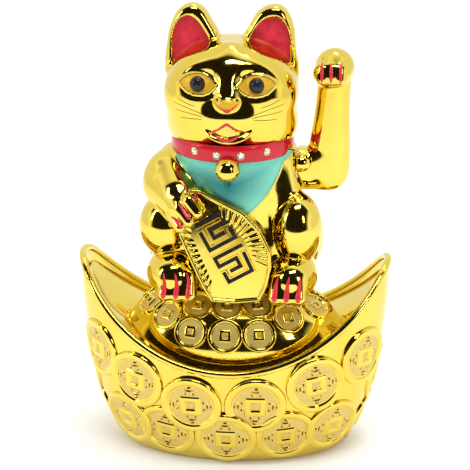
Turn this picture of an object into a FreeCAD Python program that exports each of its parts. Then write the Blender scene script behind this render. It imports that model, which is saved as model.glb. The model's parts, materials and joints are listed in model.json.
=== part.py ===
"""Beckoning cat on a boat-shaped ingot, a battery-driven ornament with one waving arm.

Frame: millimetres, +Z up, origin at the centre of the ingot's resting face, cat facing -Y.
The ingot holds the battery, the cat holds the swing movement, and the waving arm and its
pendulum turn together on one steel shaft across the left shoulder.
"""
import FreeCAD, Part
import math
import os

V = FreeCAD.Vector
X_AXIS, Y_AXIS, Z_AXIS = V(1, 0, 0), V(0, 1, 0), V(0, 0, 1)
BIG = 200.0

# ---- driving dimensions -------------------------------------------------------------------
WALL = 1.8                 # moulded shells of the cat and the deck
GAP = 0.1                  # assembly clearance between fixed mouldings

INGOT_WALL = 2.0
FOOT_A, FOOT_B = 37.5, 21.5          # half length and half depth where the ingot stands
FLARE_A, FLARE_B = 16.3, 13.5        # how far the sides flare out with height
FLARE_HEIGHT = 24.0
RIM_LOW = 36.2                       # rim height at mid-length
RIM_RADIUS = 57.5                    # the rim is a circular arc seen from the front
RIM_CENTRE = RIM_LOW + RIM_RADIUS
TIP_TOP = 68.7
DECK_DROP = 2.0                      # deck lies this far inside the rim
KEEL_DROP, KEEL_B = 6.5, 30.0        # the deck's middle is hollowed along its length
MOUND = (38.5, 25.0, 22.5)           # half sizes of the domed mound
MOUND_Z = 38.0
SEAT_Z = 54.0                        # flat top of the mound, which the cat stands on

PLATE_A, PLATE_B = 36.0, 20.0        # base plate, recessed into the ingot's foot
PLATE_LOW, PLATE_TOP = 0.6, 2.5
POST_X, POST_Y, POST_R = 16.0, 14.0, 2.6
PILOT_R, SCREW_R = 0.95, 0.9

CELL_R, CELL_LENGTH = 7.25, 50.5     # one AA cell
CELL_Z = 11.3
BAY_X, BAY_Y, BAY_TOP = 28.5, 8.5, 19.0
BAY_WALL = 1.5
DOOR_AXIS_X, DOOR_AXIS_Z = -26.0, 1.8
DOOR_END = 27.2
DOOR_BARREL_R, DOOR_PIN_R = 1.2, 0.7

SWITCH_Y = 14.6
SWITCH_TRAVEL = 2.5

PIVOT_Y, PIVOT_Z = 2.0, 99.0         # axis of the waving arm, along X
SHAFT_R = 1.0
SHAFT_START, SHAFT_END = -3.0, 30.0
POCKET_X, POCKET_R = 20.6, 9.5       # recess in the left shoulder for the arm's hub
ARM_R, WRIST_R, ARM_BEND = 6.7, 5.4, 7.4
ARM_WALL = 1.5
ARM_START_X, FOREARM_X = 21.4, 32.0
PAW = (6.6, 6.6, 6.4)
PAW_Z = 132.4
PENDULUM_X, PENDULUM_LENGTH = 7.5, 24.0

HEAD_C, HEAD_R = (-1.0, 0.0, 123.5), (23.4, 20.5, 19.3)
COLLAR_LOW, COLLAR_TOP = 103.4, 109.0
COLLAR_OUT, COLLAR_IN = (21.6, 20.4), (19.5, 18.3)
COLLAR_C = (-0.6, 0.3)
EYE_R = 2.4
BELL_R = 4.3
PLAQUE_FRONT, PLAQUE_BACK = -22.0, -8.0


# ---- small helpers ------------------------------------------------------------------------
def box(x, y, z):
    """A box from (low, high) pairs."""
    return Part.makeBox(x[1] - x[0], y[1] - y[0], z[1] - z[0], V(x[0], y[0], z[0]))


def rod(radius, start, end):
    """A cylinder between two points."""
    a, b = V(*start), V(*end)
    return Part.makeCylinder(radius, (b - a).Length, a, b - a)


def ellipsoid(centre, radii, turn=37.0):
    """An ellipsoid whose seam is turned away from the parting planes."""
    ball = Part.makeSphere(1.0)
    ball.rotate(V(0, 0, 0), Z_AXIS, turn)
    m = FreeCAD.Matrix()
    m.scale(V(*radii))
    m.move(V(*centre))
    return ball.transformGeometry(m)


def ellipse_prism(a, b, z_low, z_high, centre=(0.0, 0.0)):
    """An upright elliptical prism, with the longer half size along X."""
    edge = Part.Ellipse(V(centre[0], centre[1], z_low), a, b).toShape()
    return Part.Face(Part.Wire([edge])).extrude(V(0, 0, z_high - z_low))


def fuse(shapes):
    whole = shapes[0]
    for shape in shapes[1:]:
        whole = whole.fuse(shape)
    return whole


def join(base, make_form, turns=(37.0, 61.0, 13.0, 82.0, 49.0, 5.0)):
    """Fuses a form onto the base, turning the form's seam until the volumes add up."""
    for turn in turns:
        form = make_form(turn)
        shared = base.common(form).Volume
        whole = base.fuse(form)
        wanted = base.Volume + form.Volume - shared
        if len(whole.Solids) == 1 and whole.isValid() and abs(whole.Volume / wanted - 1) < 0.002:
            return whole
    raise RuntimeError("a form would not join")


def loft_ellipses(sections):
    """A loft through level ellipses given as (z, half width, half depth, centre y)."""
    wires = []
    for z, a, b, y in sections:
        wires.append(Part.Wire([Part.Ellipse(V(0, y, z), a, b).toShape()]))
    return Part.makeLoft(wires, True, False)


def prism_y(points, y_low, y_high):
    """A polygon drawn in X and Z, extruded along Y."""
    wire = Part.makePolygon([V(x, y_low, z) for x, z in points + points[:1]])
    return Part.Face(wire).extrude(V(0, y_high - y_low, 0))


def prism_x(points, x_low, x_high):
    """A polygon drawn in Y and Z, extruded along X."""
    wire = Part.makePolygon([V(x_low, y, z) for y, z in points + points[:1]])
    return Part.Face(wire).extrude(V(x_high - x_low, 0, 0))


def tube(points, bend, radius):
    """A round wire through the points: straight runs joined by tangent arcs of one bend."""
    p = [V(*q) for q in points]
    edges, start = [], p[0]
    for i in range(1, len(p) - 1):
        to_a, to_b = (p[i - 1] - p[i]).normalize(), (p[i + 1] - p[i]).normalize()
        half = to_a.getAngle(to_b) / 2
        reach = bend / math.tan(half)
        a, b = p[i] + to_a * reach, p[i] + to_b * reach
        towards = (to_a + to_b).normalize()
        middle = p[i] + towards * (bend / math.sin(half) - bend)
        edges += [Part.LineSegment(start, a).toShape(), Part.Arc(a, middle, b).toShape()]
        start = b
    edges.append(Part.LineSegment(start, p[-1]).toShape())
    path = Part.Wire(edges)
    circle = Part.Circle(p[0], p[1] - p[0], radius).toShape()
    return path.makePipeShell([Part.Wire([circle])], True, False)


def save(name, shape):
    """Writes one node. Its file holds only its solids."""
    solids = shape.Solids
    whole = solids[0] if len(solids) == 1 else Part.makeCompound(solids)
    whole.exportStep("parts/" + name + ".step")
    print(f"{name}: {len(solids)} solid(s), {whole.Volume:.0f} mm3, valid {whole.isValid()}")


# ---- ingot --------------------------------------------------------------------------------
def ingot_half_sizes(z):
    rise = 1.0 - math.exp(-z / FLARE_HEIGHT)
    return FOOT_A + FLARE_A * rise, FOOT_B + FLARE_B * rise


def ingot_body(inset, z_low, z_high=76.0, steps=9):
    """The flared elliptical body of the ingot, set in from the outer wall by inset."""
    wires = []
    for i in range(steps):
        z = z_low + (z_high - z_low) * (i / (steps - 1)) ** 1.4
        a, b = ingot_half_sizes(max(z, 0.0))
        edge = Part.Ellipse(V(0, 0, z), a - inset, b - inset).toShape()
        wires.append(Part.Wire([edge]))
    return Part.makeLoft(wires, True, False)


def rim_cylinder(radius):
    """Everything above the rim's arc; a larger radius reaches lower."""
    return rod(radius, (0, -BIG, RIM_CENTRE), (0, BIG, RIM_CENTRE))


def make_ingot_shell():
    """Flared wall with an inner flange that the base plate bears on."""
    wall = ingot_body(0.0, 0.0).cut(rim_cylinder(RIM_RADIUS))
    wall = wall.cut(box((-BIG, BIG), (-BIG, BIG), (TIP_TOP, BIG)))
    wall = wall.cut(ingot_body(INGOT_WALL, 4.2, 80.0))
    wall = wall.cut(ellipse_prism(PLATE_A - 0.7, PLATE_B - 0.6, 2.0, 4.3))
    return wall.cut(ellipse_prism(PLATE_A + 0.2, PLATE_B + 0.2, -1.0, PLATE_TOP + 0.1))


def deck_space(offset):
    """Everything above the deck; its floor is lower along the middle."""
    keel = RIM_RADIUS + KEEL_DROP + offset
    hollow = ellipsoid((0, 0, RIM_CENTRE), (keel, KEEL_B + offset, keel))
    return rim_cylinder(RIM_RADIUS + DECK_DROP + offset).fuse(hollow)


def make_deck():
    """Curved deck inside the rim, the hollow mound, and four posts for the base screws."""
    inside = ingot_body(INGOT_WALL + GAP, 4.2, 80.0)
    under = deck_space(WALL)
    deck = inside.common(under).cut(deck_space(0.0))
    mound = ellipsoid((0, 0, MOUND_Z), MOUND).common(under)
    mound = mound.cut(box((-BIG, BIG), (-BIG, BIG), (SEAT_Z, BIG)))
    hollow = ellipsoid((0, 0, MOUND_Z), [r - WALL for r in MOUND])
    hollow = hollow.cut(box((-BIG, BIG), (-BIG, BIG), (SEAT_Z - WALL, BIG)))
    deck = deck.fuse(mound).cut(hollow)
    deck = deck.cut(box((-BIG, BIG), (-BIG, BIG), (TIP_TOP - 3.0, BIG)))
    mound_core = ellipsoid((0, 0, MOUND_Z), [r - 0.6 for r in MOUND])
    for x in (-POST_X, POST_X):
        for y in (-POST_Y, POST_Y):
            head = rod(POST_R, (x, y, 39.0), (x, y, SEAT_Z - 0.5)).common(mound_core)
            deck = deck.fuse(head.fuse(rod(POST_R, (x, y, PLATE_TOP + GAP), (x, y, 40.0))))
    for x in (-POST_X, POST_X):
        for y in (-POST_Y, POST_Y):
            deck = deck.cut(rod(PILOT_R, (x, y, 0), (x, y, 14.0)))
    deck = deck.cut(rod(3.2, (-10, 9, SEAT_Z - 4), (-10, 9, SEAT_Z + 2)))
    for x, y in CAT_BOSSES:
        deck = deck.cut(rod(1.3, (x, y, SEAT_Z - 4), (x, y, SEAT_Z + 2)))
        deck = deck.cut(rod(2.3, (x, y, SEAT_Z - 7), (x, y, SEAT_Z - WALL)))
    for x, y in FRAME_SCREWS:
        deck = deck.cut(rod(PILOT_R, (x, y, SEAT_Z - 4), (x, y, SEAT_Z + 2)))
    return deck


# ---- base plate, battery bay and its door ---------------------------------------------------
def make_base_plate():
    plate = ellipse_prism(PLATE_A, PLATE_B, PLATE_LOW, PLATE_TOP)
    plate = plate.fuse(box((-BAY_X - BAY_WALL, BAY_X + BAY_WALL - 0.6),
                           (-BAY_Y - BAY_WALL, BAY_Y + BAY_WALL),
                           (PLATE_LOW + 0.5, BAY_TOP + BAY_WALL)))
    plate = plate.cut(box((-BAY_X, BAY_X), (-BAY_Y, BAY_Y), (PLATE_TOP - 0.6, BAY_TOP)))
    plate = plate.cut(box((-27.5, 27.5), (-BAY_Y, BAY_Y), (-1, PLATE_TOP)))
    pin_reach = BAY_Y + 1.2
    plate = plate.cut(rod(DOOR_PIN_R + 0.05, (DOOR_AXIS_X, -pin_reach, DOOR_AXIS_Z),
                          (DOOR_AXIS_X, pin_reach, DOOR_AXIS_Z)))
    for x in (-POST_X, POST_X):
        for y in (-POST_Y, POST_Y):
            plate = plate.cut(rod(1.25, (x, y, -1), (x, y, 5)))
            plate = plate.cut(rod(2.3, (x, y, -1), (x, y, 1.5)))
    plate = plate.cut(box((-2.9, 2.9), (SWITCH_Y - 0.8, SWITCH_Y + 0.8), (-1, 5)))
    for x in (-BAY_X + 0.6, BAY_X - 0.6):       # holes for the contact tags' wires
        plate = plate.cut(rod(0.9, (x, 0, BAY_TOP - 1), (x, 0, BAY_TOP + 3)))
    return plate


def make_base_screws():
    """Four self-tapping screws, heads recessed in the plate."""
    screws = []
    for x in (-POST_X, POST_X):
        for y in (-POST_Y, POST_Y):
            head = rod(2.0, (x, y, 0.75), (x, y, 1.5))
            slots = box((x - 1.4, x + 1.4), (y - 0.25, y + 0.25), (0.6, 1.1)).fuse(
                box((x - 0.25, x + 0.25), (y - 1.4, y + 1.4), (0.6, 1.1)))
            screws.append(head.fuse(rod(SCREW_R, (x, y, 1.5), (x, y, 12.0))).cut(slots))
    return Part.makeCompound(screws)


def make_battery_door():
    half = BAY_Y - 0.2
    door = box((DOOR_AXIS_X, DOOR_END), (-half, half), (PLATE_LOW, PLATE_LOW + 1.5))
    door = door.fuse(rod(DOOR_BARREL_R, (DOOR_AXIS_X, -half, DOOR_AXIS_Z),
                         (DOOR_AXIS_X, half, DOOR_AXIS_Z)))
    door = door.fuse(rod(DOOR_PIN_R, (DOOR_AXIS_X, -half - 1.2, DOOR_AXIS_Z),
                         (DOOR_AXIS_X, half + 1.2, DOOR_AXIS_Z)))
    for i in range(4):                          # thumb grip
        x = 20.0 + 1.4 * i
        door = door.cut(box((x, x + 0.6), (-4.5, 4.5), (PLATE_LOW - 1, PLATE_LOW + 0.4)))
    return door


def make_cell():
    """One AA cell: can, insulating shoulder and positive nub."""
    start = -22.9
    can = rod(CELL_R, (start, 0, CELL_Z), (start + CELL_LENGTH - 1.5, 0, CELL_Z))
    nub = rod(2.6, (start + CELL_LENGTH - 1.5, 0, CELL_Z), (start + CELL_LENGTH, 0, CELL_Z))
    return can.fuse(nub)


def make_positive_contact():
    """Spring-steel tag in the bay's far end, touching the nub."""
    face = box((27.6, 28.2), (-4.0, 4.0), (5.0, 17.5))
    return face.fuse(box((27.6, 28.2), (-0.8, 0.8), (17.5, BAY_TOP - 0.2)))


def make_negative_contact():
    """Tag and conical spring at the cell's flat end."""
    tag = box((-28.3, -27.8), (-4.0, 4.0), (5.0, 17.5))
    tag = tag.fuse(box((-28.3, -27.8), (-0.8, 0.8), (17.5, BAY_TOP - 0.2)))
    wire_r, large_r = 0.4, 4.0
    helix = Part.makeHelix(1.35, 3.9, large_r, 14.0)
    ring = Part.Wire([Part.Circle(V(large_r, 0, 0), V(0, 1, 0), wire_r).toShape()])
    spring = Part.Wire(helix.Edges).makePipeShell([ring], True, True)
    spring.rotate(V(0, 0, 0), Y_AXIS, 90)
    spring.translate(V(-27.35, 0, CELL_Z))
    return Part.makeCompound([tag, spring])


def make_switch_body():
    body = box((-4.4, 4.4), (SWITCH_Y - 2.0, SWITCH_Y + 2.0), (PLATE_TOP, PLATE_TOP + 3.6))
    body = body.cut(box((-2.75, 2.75), (SWITCH_Y - 0.65, SWITCH_Y + 0.65), (2.0, 4.6)))
    for x in (-2.4, 0.0, 2.4):                  # solder tags
        body = body.fuse(box((x - 0.3, x + 0.3), (SWITCH_Y - 0.2, SWITCH_Y + 0.2), (6.0, 8.2)))
    return body


def make_switch_knob():
    x = -SWITCH_TRAVEL / 2
    knob = box((x - 1.2, x + 1.2), (SWITCH_Y - 0.55, SWITCH_Y + 0.55), (0.8, 4.4))
    for i in (-1, 0, 1):                        # grip ribs
        knob = knob.cut(box((x + 0.7 * i - 0.12, x + 0.7 * i + 0.12),
                            (SWITCH_Y - 1, SWITCH_Y + 1), (0.0, 1.0)))
    return knob


# ---- cat ------------------------------------------------------------------------------------
PARTING_Y = PIVOT_Y
TORSO = [                                        # height, half width, half depth, centre y
    (52.0, 21.0, 16.0, 1.0),
    (60.0, 24.5, 18.6, 1.0),
    (70.0, 25.6, 19.6, 1.0),
    (82.0, 24.2, 19.0, 1.0),
    (92.0, 22.2, 18.2, 0.8),
    (99.0, 21.0, 18.0, 0.5),
    (104.0, 19.5, 18.2, 0.3),
    (112.0, 19.2, 17.6, 0.3),
]
BODY_FORMS = [                                   # centre, half sizes
    ((-19.6, 1.0, 71.0), (11.6, 17.0, 16.0)),    # haunches
    ((19.6, 1.0, 71.0), (11.6, 17.0, 16.0)),
    ((-16.2, -7.5, 60.5), (8.6, 11.0, 8.0)),     # feet
    ((17.4, -7.5, 60.5), (8.6, 11.0, 8.0)),
    ((-22.0, -4.0, 79.0), (9.0, 12.4, 10.8)),    # thighs
    ((21.2, -4.8, 79.4), (8.4, 12.6, 12.4)),
    ((-23.4, 0.0, 94.0), (7.7, 9.5, 10.5)),      # resting upper arm
    ((-12.5, -16.0, 88.5), (6.6, 5.0, 6.0)),     # resting paw
    ((9.0, 19.0, 62.5), (10.0, 4.8, 5.4)),       # curled tail
]
HEAD_FORMS = [
    (HEAD_C, HEAD_R),
    ((-1.2, -16.5, 116.2), (9.5, 5.2, 5.6)),     # muzzle
    ((-14.2, 2.4, 137.8), (8.4, 5.2, 14.2)),     # ears
    ((11.6, 2.4, 137.8), (8.4, 5.2, 14.2)),
]
SOLID_BELOW = 5.1                                # forms thinner than this aren't hollowed
CAT_BOSSES = [(-12.0, 13.0), (12.0, 13.0)]
FRAME_SCREWS = [(-3.6, -3.0), (-3.6, 5.0)]


def cat_forms(inset):
    """All the rounded forms of the cat in one solid, each drawn in by inset."""
    whole = loft_ellipses([(z, a - inset, b - inset, y) for z, a, b, y in TORSO])
    for centre, radii in HEAD_FORMS[:1] + BODY_FORMS + HEAD_FORMS[1:]:
        if inset > 0 and min(radii) < SOLID_BELOW:
            continue
        sizes = [r - inset for r in radii]
        whole = join(whole, lambda turn: ellipsoid(centre, sizes, turn))
    return join(whole, lambda turn: rod(5.6 - inset, (-25.0, -3.0, 90.0), (-13.0, -16.0, 88.8)))


def collar_groove(inset):
    """Material outside the neck at the collar's height, drawn in by inset."""
    low, high = COLLAR_LOW - 0.05 - inset, COLLAR_TOP + 0.05 + inset
    slab = box((-60, 60), (-60, 60), (low, high))
    return slab.cut(ellipse_prism(COLLAR_IN[0] - inset, COLLAR_IN[1] - inset,
                                  low - 1, high + 1, COLLAR_C))


def shoulder_pocket(inset):
    return rod(POCKET_R + inset, (POCKET_X - inset, PIVOT_Y, PIVOT_Z), (60, PIVOT_Y, PIVOT_Z))


def cat_outside():
    shape = cat_forms(0.0).cut(collar_groove(0.0)).cut(shoulder_pocket(0.0))
    return shape.cut(box((-BIG, BIG), (-BIG, BIG), (0, SEAT_Z + GAP)))


def make_cat_shells(outside):
    """Front and rear shells, hollow, open at the seat and parted through the shaft hole."""
    inside = cat_forms(WALL).cut(collar_groove(WALL)).cut(shoulder_pocket(WALL))
    shell = outside.cut(inside)
    shell = shell.cut(rod(2.0, (POCKET_X - 6, PIVOT_Y, PIVOT_Z), (POCKET_X + 6, PIVOT_Y, PIVOT_Z)))
    front = shell.common(box((-80, 80), (-80, PARTING_Y - 0.03), (0, BIG)))
    rear = shell.common(box((-80, 80), (PARTING_Y + 0.03, 80), (0, BIG)))
    for x, y in CAT_BOSSES:
        boss = rod(2.4, (x, y, SEAT_Z + GAP), (x, y, SEAT_Z + 9.0))
        web = box((x - 0.6, x + 0.6), (y, y + 6.0), (SEAT_Z + GAP, SEAT_Z + 9.0))
        rear = rear.fuse(boss.fuse(web).common(outside))
        rear = rear.cut(rod(PILOT_R, (x, y, SEAT_Z - 1), (x, y, SEAT_Z + 8.0)))
    return keep_largest(front), keep_largest(rear)


def keep_largest(shape):
    return max(shape.Solids, key=lambda s: s.Volume)


def make_collar():
    """Raised band round the neck, with a rounded outer face."""
    a, b = COLLAR_OUT
    band = ellipse_prism(a, b, COLLAR_LOW, COLLAR_TOP, COLLAR_C)
    outer_edges = [e for e in band.Edges if e.Length > 50]
    band = band.makeFillet(1.0, outer_edges)
    return band.cut(ellipse_prism(COLLAR_IN[0] + 0.05, COLLAR_IN[1] + 0.05,
                                  COLLAR_LOW - 1, COLLAR_TOP + 1, COLLAR_C))


BIB_OUTLINE = [(-20.0, 103.3), (-19.6, 97.0), (-16.5, 90.5), (-10.0, 85.0), (0.0, 82.5),
               (9.0, 85.0), (15.5, 90.5), (18.6, 97.0), (19.0, 103.3)]


def make_bib(outside):
    """Thin apron that follows the chest, under the collar."""
    grown = loft_ellipses([(z, a + 0.8, b + 0.8, y) for z, a, b, y in TORSO])
    front = prism_y(BIB_OUTLINE, -60.0, -4.0)
    return keep_largest(grown.common(front).cut(outside).cut(shoulder_pocket(0.3)))


def make_bell(outside, collar, bib):
    bell = Part.makeSphere(BELL_R, V(-0.6, -20.4, 102.4))
    return keep_largest(bell.cut(collar).cut(bib).cut(outside))


def make_rhinestones(collar):
    """Four cut stones set round the front of the collar."""
    a, b = COLLAR_OUT
    z = (COLLAR_LOW + COLLAR_TOP) / 2 + 0.4
    stones = []
    for x in (-10.9, -3.8, 3.6, 11.4):
        y = COLLAR_C[1] - b * math.sqrt(1 - ((x - COLLAR_C[0]) / a) ** 2)
        out = V((x - COLLAR_C[0]) / a ** 2, (y - COLLAR_C[1]) / b ** 2, 0).normalize()
        base = V(x, y, z) - out * 0.9
        stones.append(Part.makeCone(1.15, 0.7, 1.5, base, out).cut(collar))
    return Part.makeCompound([keep_largest(s) for s in stones])


def make_eyes(outside):
    """Two glossy half beads glued to the face."""
    beads = []
    for x in (-10.3, 8.7):
        y = face_front(x, 129.8)
        bead = Part.makeSphere(EYE_R, V(x, y + 1.2, 129.8))
        bead.rotate(bead.CenterOfMass, X_AXIS, 90.0)
        beads.append(keep_largest(bead.cut(outside)))
    return Part.makeCompound(beads)


def face_front(x, z):
    """Y of the head's front surface at x and z."""
    u, w = (x - HEAD_C[0]) / HEAD_R[0], (z - HEAD_C[2]) / HEAD_R[2]
    return HEAD_C[1] - HEAD_R[1] * math.sqrt(1 - u * u - w * w)


PLAQUE_OUTLINE = [(-16.6, 84.4), (-12.4, 96.2), (-8.0, 94.5), (-2.5, 92.3), (4.0, 88.5),
                  (8.2, 83.6), (11.2, 78.3), (13.2, 70.0), (12.8, 63.0), (11.3, 57.9),
                  (-3.9, 57.4), (-7.5, 58.9), (-12.0, 71.0)]


PAW_REST_R = 6.8                                 # notch in the plaque for the resting paw


def make_plaque(outside, bib):
    """The long coin that the cat holds, notched for the paw, backed by the belly and the bib."""
    body = prism_y(PLAQUE_OUTLINE, PLAQUE_FRONT, PLAQUE_BACK)
    centre = V(-2.0, 0, 76.0)
    inner = [(centre.x + (x - centre.x) * 0.86, centre.z + (z - centre.z) * 0.9)
             for x, z in PLAQUE_OUTLINE]
    body = body.cut(prism_y(inner, PLAQUE_FRONT - 1, PLAQUE_FRONT + 0.8))
    body = body.cut(rod(PAW_REST_R, (-12.5, -30.0, 88.5), (-12.5, 0.0, 88.5)))
    return keep_largest(body.cut(outside).cut(bib))


def make_cat_screws():
    """Two screws up through the seat into the rear shell's bosses."""
    screws = []
    for x, y in CAT_BOSSES:
        top = SEAT_Z - WALL
        head = rod(2.0, (x, y, top - 1.2), (x, y, top))
        screws.append(head.fuse(rod(SCREW_R, (x, y, top), (x, y, SEAT_Z + 7.0))))
    return Part.makeCompound(screws)


# ---- movement -------------------------------------------------------------------------------
FRAME_X = [(-1.0, 0.6), (14.4, 16.0)]            # the two bearing plates
SHELF_Z = 64.0
BOBBIN_R, CORE_R = 6.6, 2.5


def make_movement_frame():
    """Bracket with two bearing plates, a coil shelf and a foot screwed to the seat."""
    foot_z = (SEAT_Z + GAP, SEAT_Z + 1.7)
    frame = box((-5.6, 16.0), (-5.0, 7.0), foot_z)
    frame = frame.fuse(box((-16.5, -5.6), (-4.0, 6.0), foot_z))
    for x_low, x_high in FRAME_X:
        side = [(PIVOT_Y - 5.0, SEAT_Z + 1.0), (PIVOT_Y + 5.0, SEAT_Z + 1.0),
                (PIVOT_Y + 4.0, 80.0), (PIVOT_Y + 2.4, 101.4), (PIVOT_Y - 2.4, 101.4),
                (PIVOT_Y - 4.0, 80.0)]
        frame = frame.fuse(prism_x(side, x_low, x_high))
    frame = frame.fuse(box((0.0, 15.0), (PIVOT_Y - 5.0, PIVOT_Y + 5.0), (SHELF_Z - 1.6, SHELF_Z)))
    for x in (-15.0, -7.0):                      # board supports
        frame = frame.fuse(box((x - 0.6, x + 0.6), (-4.0, 6.0), (SEAT_Z + 1.0, SEAT_Z + 3.2)))
    frame = frame.cut(rod(SHAFT_R + 0.06, (-5, PIVOT_Y, PIVOT_Z), (18, PIVOT_Y, PIVOT_Z)))
    frame = frame.cut(rod(1.2, (PENDULUM_X, PIVOT_Y, SHELF_Z - 3), (PENDULUM_X, PIVOT_Y, SHELF_Z + 1)))
    for x, y in FRAME_SCREWS:
        frame = frame.cut(rod(1.1, (x, y, SEAT_Z - 1), (x, y, SEAT_Z + 3)))
    return frame


def make_frame_screws():
    screws = []
    for x, y in FRAME_SCREWS:
        top = SEAT_Z + 1.7
        screws.append(rod(1.8, (x, y, top), (x, y, top + 1.1)).fuse(
            rod(SCREW_R, (x, y, SEAT_Z - 3.0), (x, y, top))))
    return Part.makeCompound(screws)


def make_bobbin():
    """Flanged spool on the coil shelf, located by a peg."""
    at = (PENDULUM_X, PIVOT_Y)
    spool = rod(CORE_R, (*at, SHELF_Z), (*at, SHELF_Z + 6.0))
    for z in (SHELF_Z, SHELF_Z + 5.2):
        spool = spool.fuse(rod(BOBBIN_R, (*at, z), (*at, z + 0.8)))
    return spool.fuse(rod(1.1, (*at, SHELF_Z - 1.6), (*at, SHELF_Z)))


def make_coil():
    at = (PENDULUM_X, PIVOT_Y)
    low, high = SHELF_Z + 0.85, SHELF_Z + 5.15
    return rod(BOBBIN_R - 0.4, (*at, low), (*at, high)).cut(
        rod(CORE_R + 0.05, (*at, low - 1), (*at, high + 1)))


BOARD_Z = SEAT_Z + 3.2


def make_board():
    return box((-17.0, -5.2), (-5.0, 7.0), (BOARD_Z, BOARD_Z + 1.0))


def make_transistors():
    """Two small plastic-cased transistors that pulse the coil."""
    cases = []
    for y in (-2.8, 2.5):
        case = rod(2.3, (-8.6, y, BOARD_Z + 1.0), (-8.6, y, BOARD_Z + 5.6))
        cases.append(case.cut(box((-7.6, 0), (y - 4, y + 4), (BOARD_Z, BOARD_Z + 8))))
    return Part.makeCompound(cases)


def make_capacitor():
    can = rod(2.5, (-14.0, 1.5, BOARD_Z + 1.0), (-14.0, 1.5, BOARD_Z + 8.0))
    return can.makeFillet(0.4, [e for e in can.Edges if abs(e.BoundBox.ZMin - BOARD_Z - 8.0) < 0.01
                                and abs(e.BoundBox.ZMax - BOARD_Z - 8.0) < 0.01])


def make_resistor():
    return rod(0.9, (-12.6, -3.6, BOARD_Z + 1.9), (-16.2, -3.6, BOARD_Z + 1.9))


WIRE_R = 0.5


def make_wires():
    """Three insulated leads: cell to switch, switch to board, cell to board."""
    roof = BAY_TOP + BAY_WALL
    tag_x = 27.9
    red = tube([(tag_x, 0, BAY_TOP), (tag_x, 0, 24.0), (21.0, 9.0, 24.0), (0.0, 12.6, 24.0),
                (0.0, SWITCH_Y, 18.0), (0.0, SWITCH_Y, 8.4)], 1.8, WIRE_R)
    feed = tube([(2.4, SWITCH_Y, 8.4), (2.4, SWITCH_Y, 28.0), (-8.4, 9.0, 34.0),
                 (-8.4, 9.0, BOARD_Z + 4.0), (-8.4, 6.0, BOARD_Z + 4.0),
                 (-8.4, 6.0, BOARD_Z + 1.0)], 1.2, WIRE_R)
    black = tube([(-28.05, 0, BAY_TOP), (-28.05, 0, 24.5), (-14.0, 5.0, 26.5), (-11.6, 9.0, 34.0),
                  (-11.6, 9.0, BOARD_Z + 4.0), (-11.6, 6.0, BOARD_Z + 4.0),
                  (-11.6, 6.0, BOARD_Z + 1.0)], 1.2, WIRE_R)
    return red, feed, black


# ---- waving arm and its pendulum --------------------------------------------------------------
def arm_form(inset):
    """J-shaped arm: hub across the shoulder, bend at the elbow, upright forearm and paw."""
    r = ARM_R - inset
    bend_x = FOREARM_X - ARM_BEND
    start = ARM_START_X + inset
    hub = rod(r, (start, PIVOT_Y, PIVOT_Z), (bend_x, PIVOT_Y, PIVOT_Z))
    ring = Part.makeTorus(ARM_BEND, r, V(bend_x, PIVOT_Y, PIVOT_Z + ARM_BEND), Y_AXIS)
    elbow = ring.common(box((bend_x, bend_x + 30), (-30, 30), (60, PIVOT_Z + ARM_BEND)))
    forearm = Part.makeCone(r, WRIST_R - inset, PAW_Z - PIVOT_Z - ARM_BEND,
                            V(FOREARM_X, PIVOT_Y, PIVOT_Z + ARM_BEND), Z_AXIS)
    sizes = [p - inset for p in PAW]
    arm = fuse([hub, elbow, forearm])
    return join(arm, lambda turn: ellipsoid((FOREARM_X, PIVOT_Y, PAW_Z), sizes, turn))


def make_arm_halves():
    """Front and rear halves, hollow but for a boss that grips the shaft."""
    boss = rod(2.6, (ARM_START_X, PIVOT_Y, PIVOT_Z), (SHAFT_END + 1.0, PIVOT_Y, PIVOT_Z))
    outside = arm_form(0.0)
    arm = outside.cut(arm_form(ARM_WALL)).fuse(boss.common(outside))
    arm = arm.cut(rod(SHAFT_R + 0.02, (ARM_START_X - 5, PIVOT_Y, PIVOT_Z),
                      (SHAFT_END + 0.05, PIVOT_Y, PIVOT_Z)))
    front = arm.common(box((0, 80), (-60, PARTING_Y - 0.03), (60, BIG)))
    rear = arm.common(box((0, 80), (PARTING_Y + 0.03, 60), (60, BIG)))
    return keep_largest(front), keep_largest(rear)


def make_shaft():
    shaft = rod(SHAFT_R, (SHAFT_START, PIVOT_Y, PIVOT_Z), (SHAFT_END, PIVOT_Y, PIVOT_Z))
    groove = rod(SHAFT_R + 1, (-2.2, PIVOT_Y, PIVOT_Z), (-1.7, PIVOT_Y, PIVOT_Z)).cut(
        rod(SHAFT_R - 0.3, (-3, PIVOT_Y, PIVOT_Z), (-1, PIVOT_Y, PIVOT_Z)))
    return shaft.cut(groove)


def make_clip():
    """Retaining ring in the shaft's groove."""
    ring = rod(2.2, (-2.15, PIVOT_Y, PIVOT_Z), (-1.75, PIVOT_Y, PIVOT_Z))
    ring = ring.cut(rod(SHAFT_R - 0.28, (-3, PIVOT_Y, PIVOT_Z), (-1, PIVOT_Y, PIVOT_Z)))
    return ring.cut(box((-3, 0), (PIVOT_Y - 0.6, PIVOT_Y + 0.6), (PIVOT_Z - 4, PIVOT_Z)))


MAGNET_R, MAGNET_H = 4.0, 3.0


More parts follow.
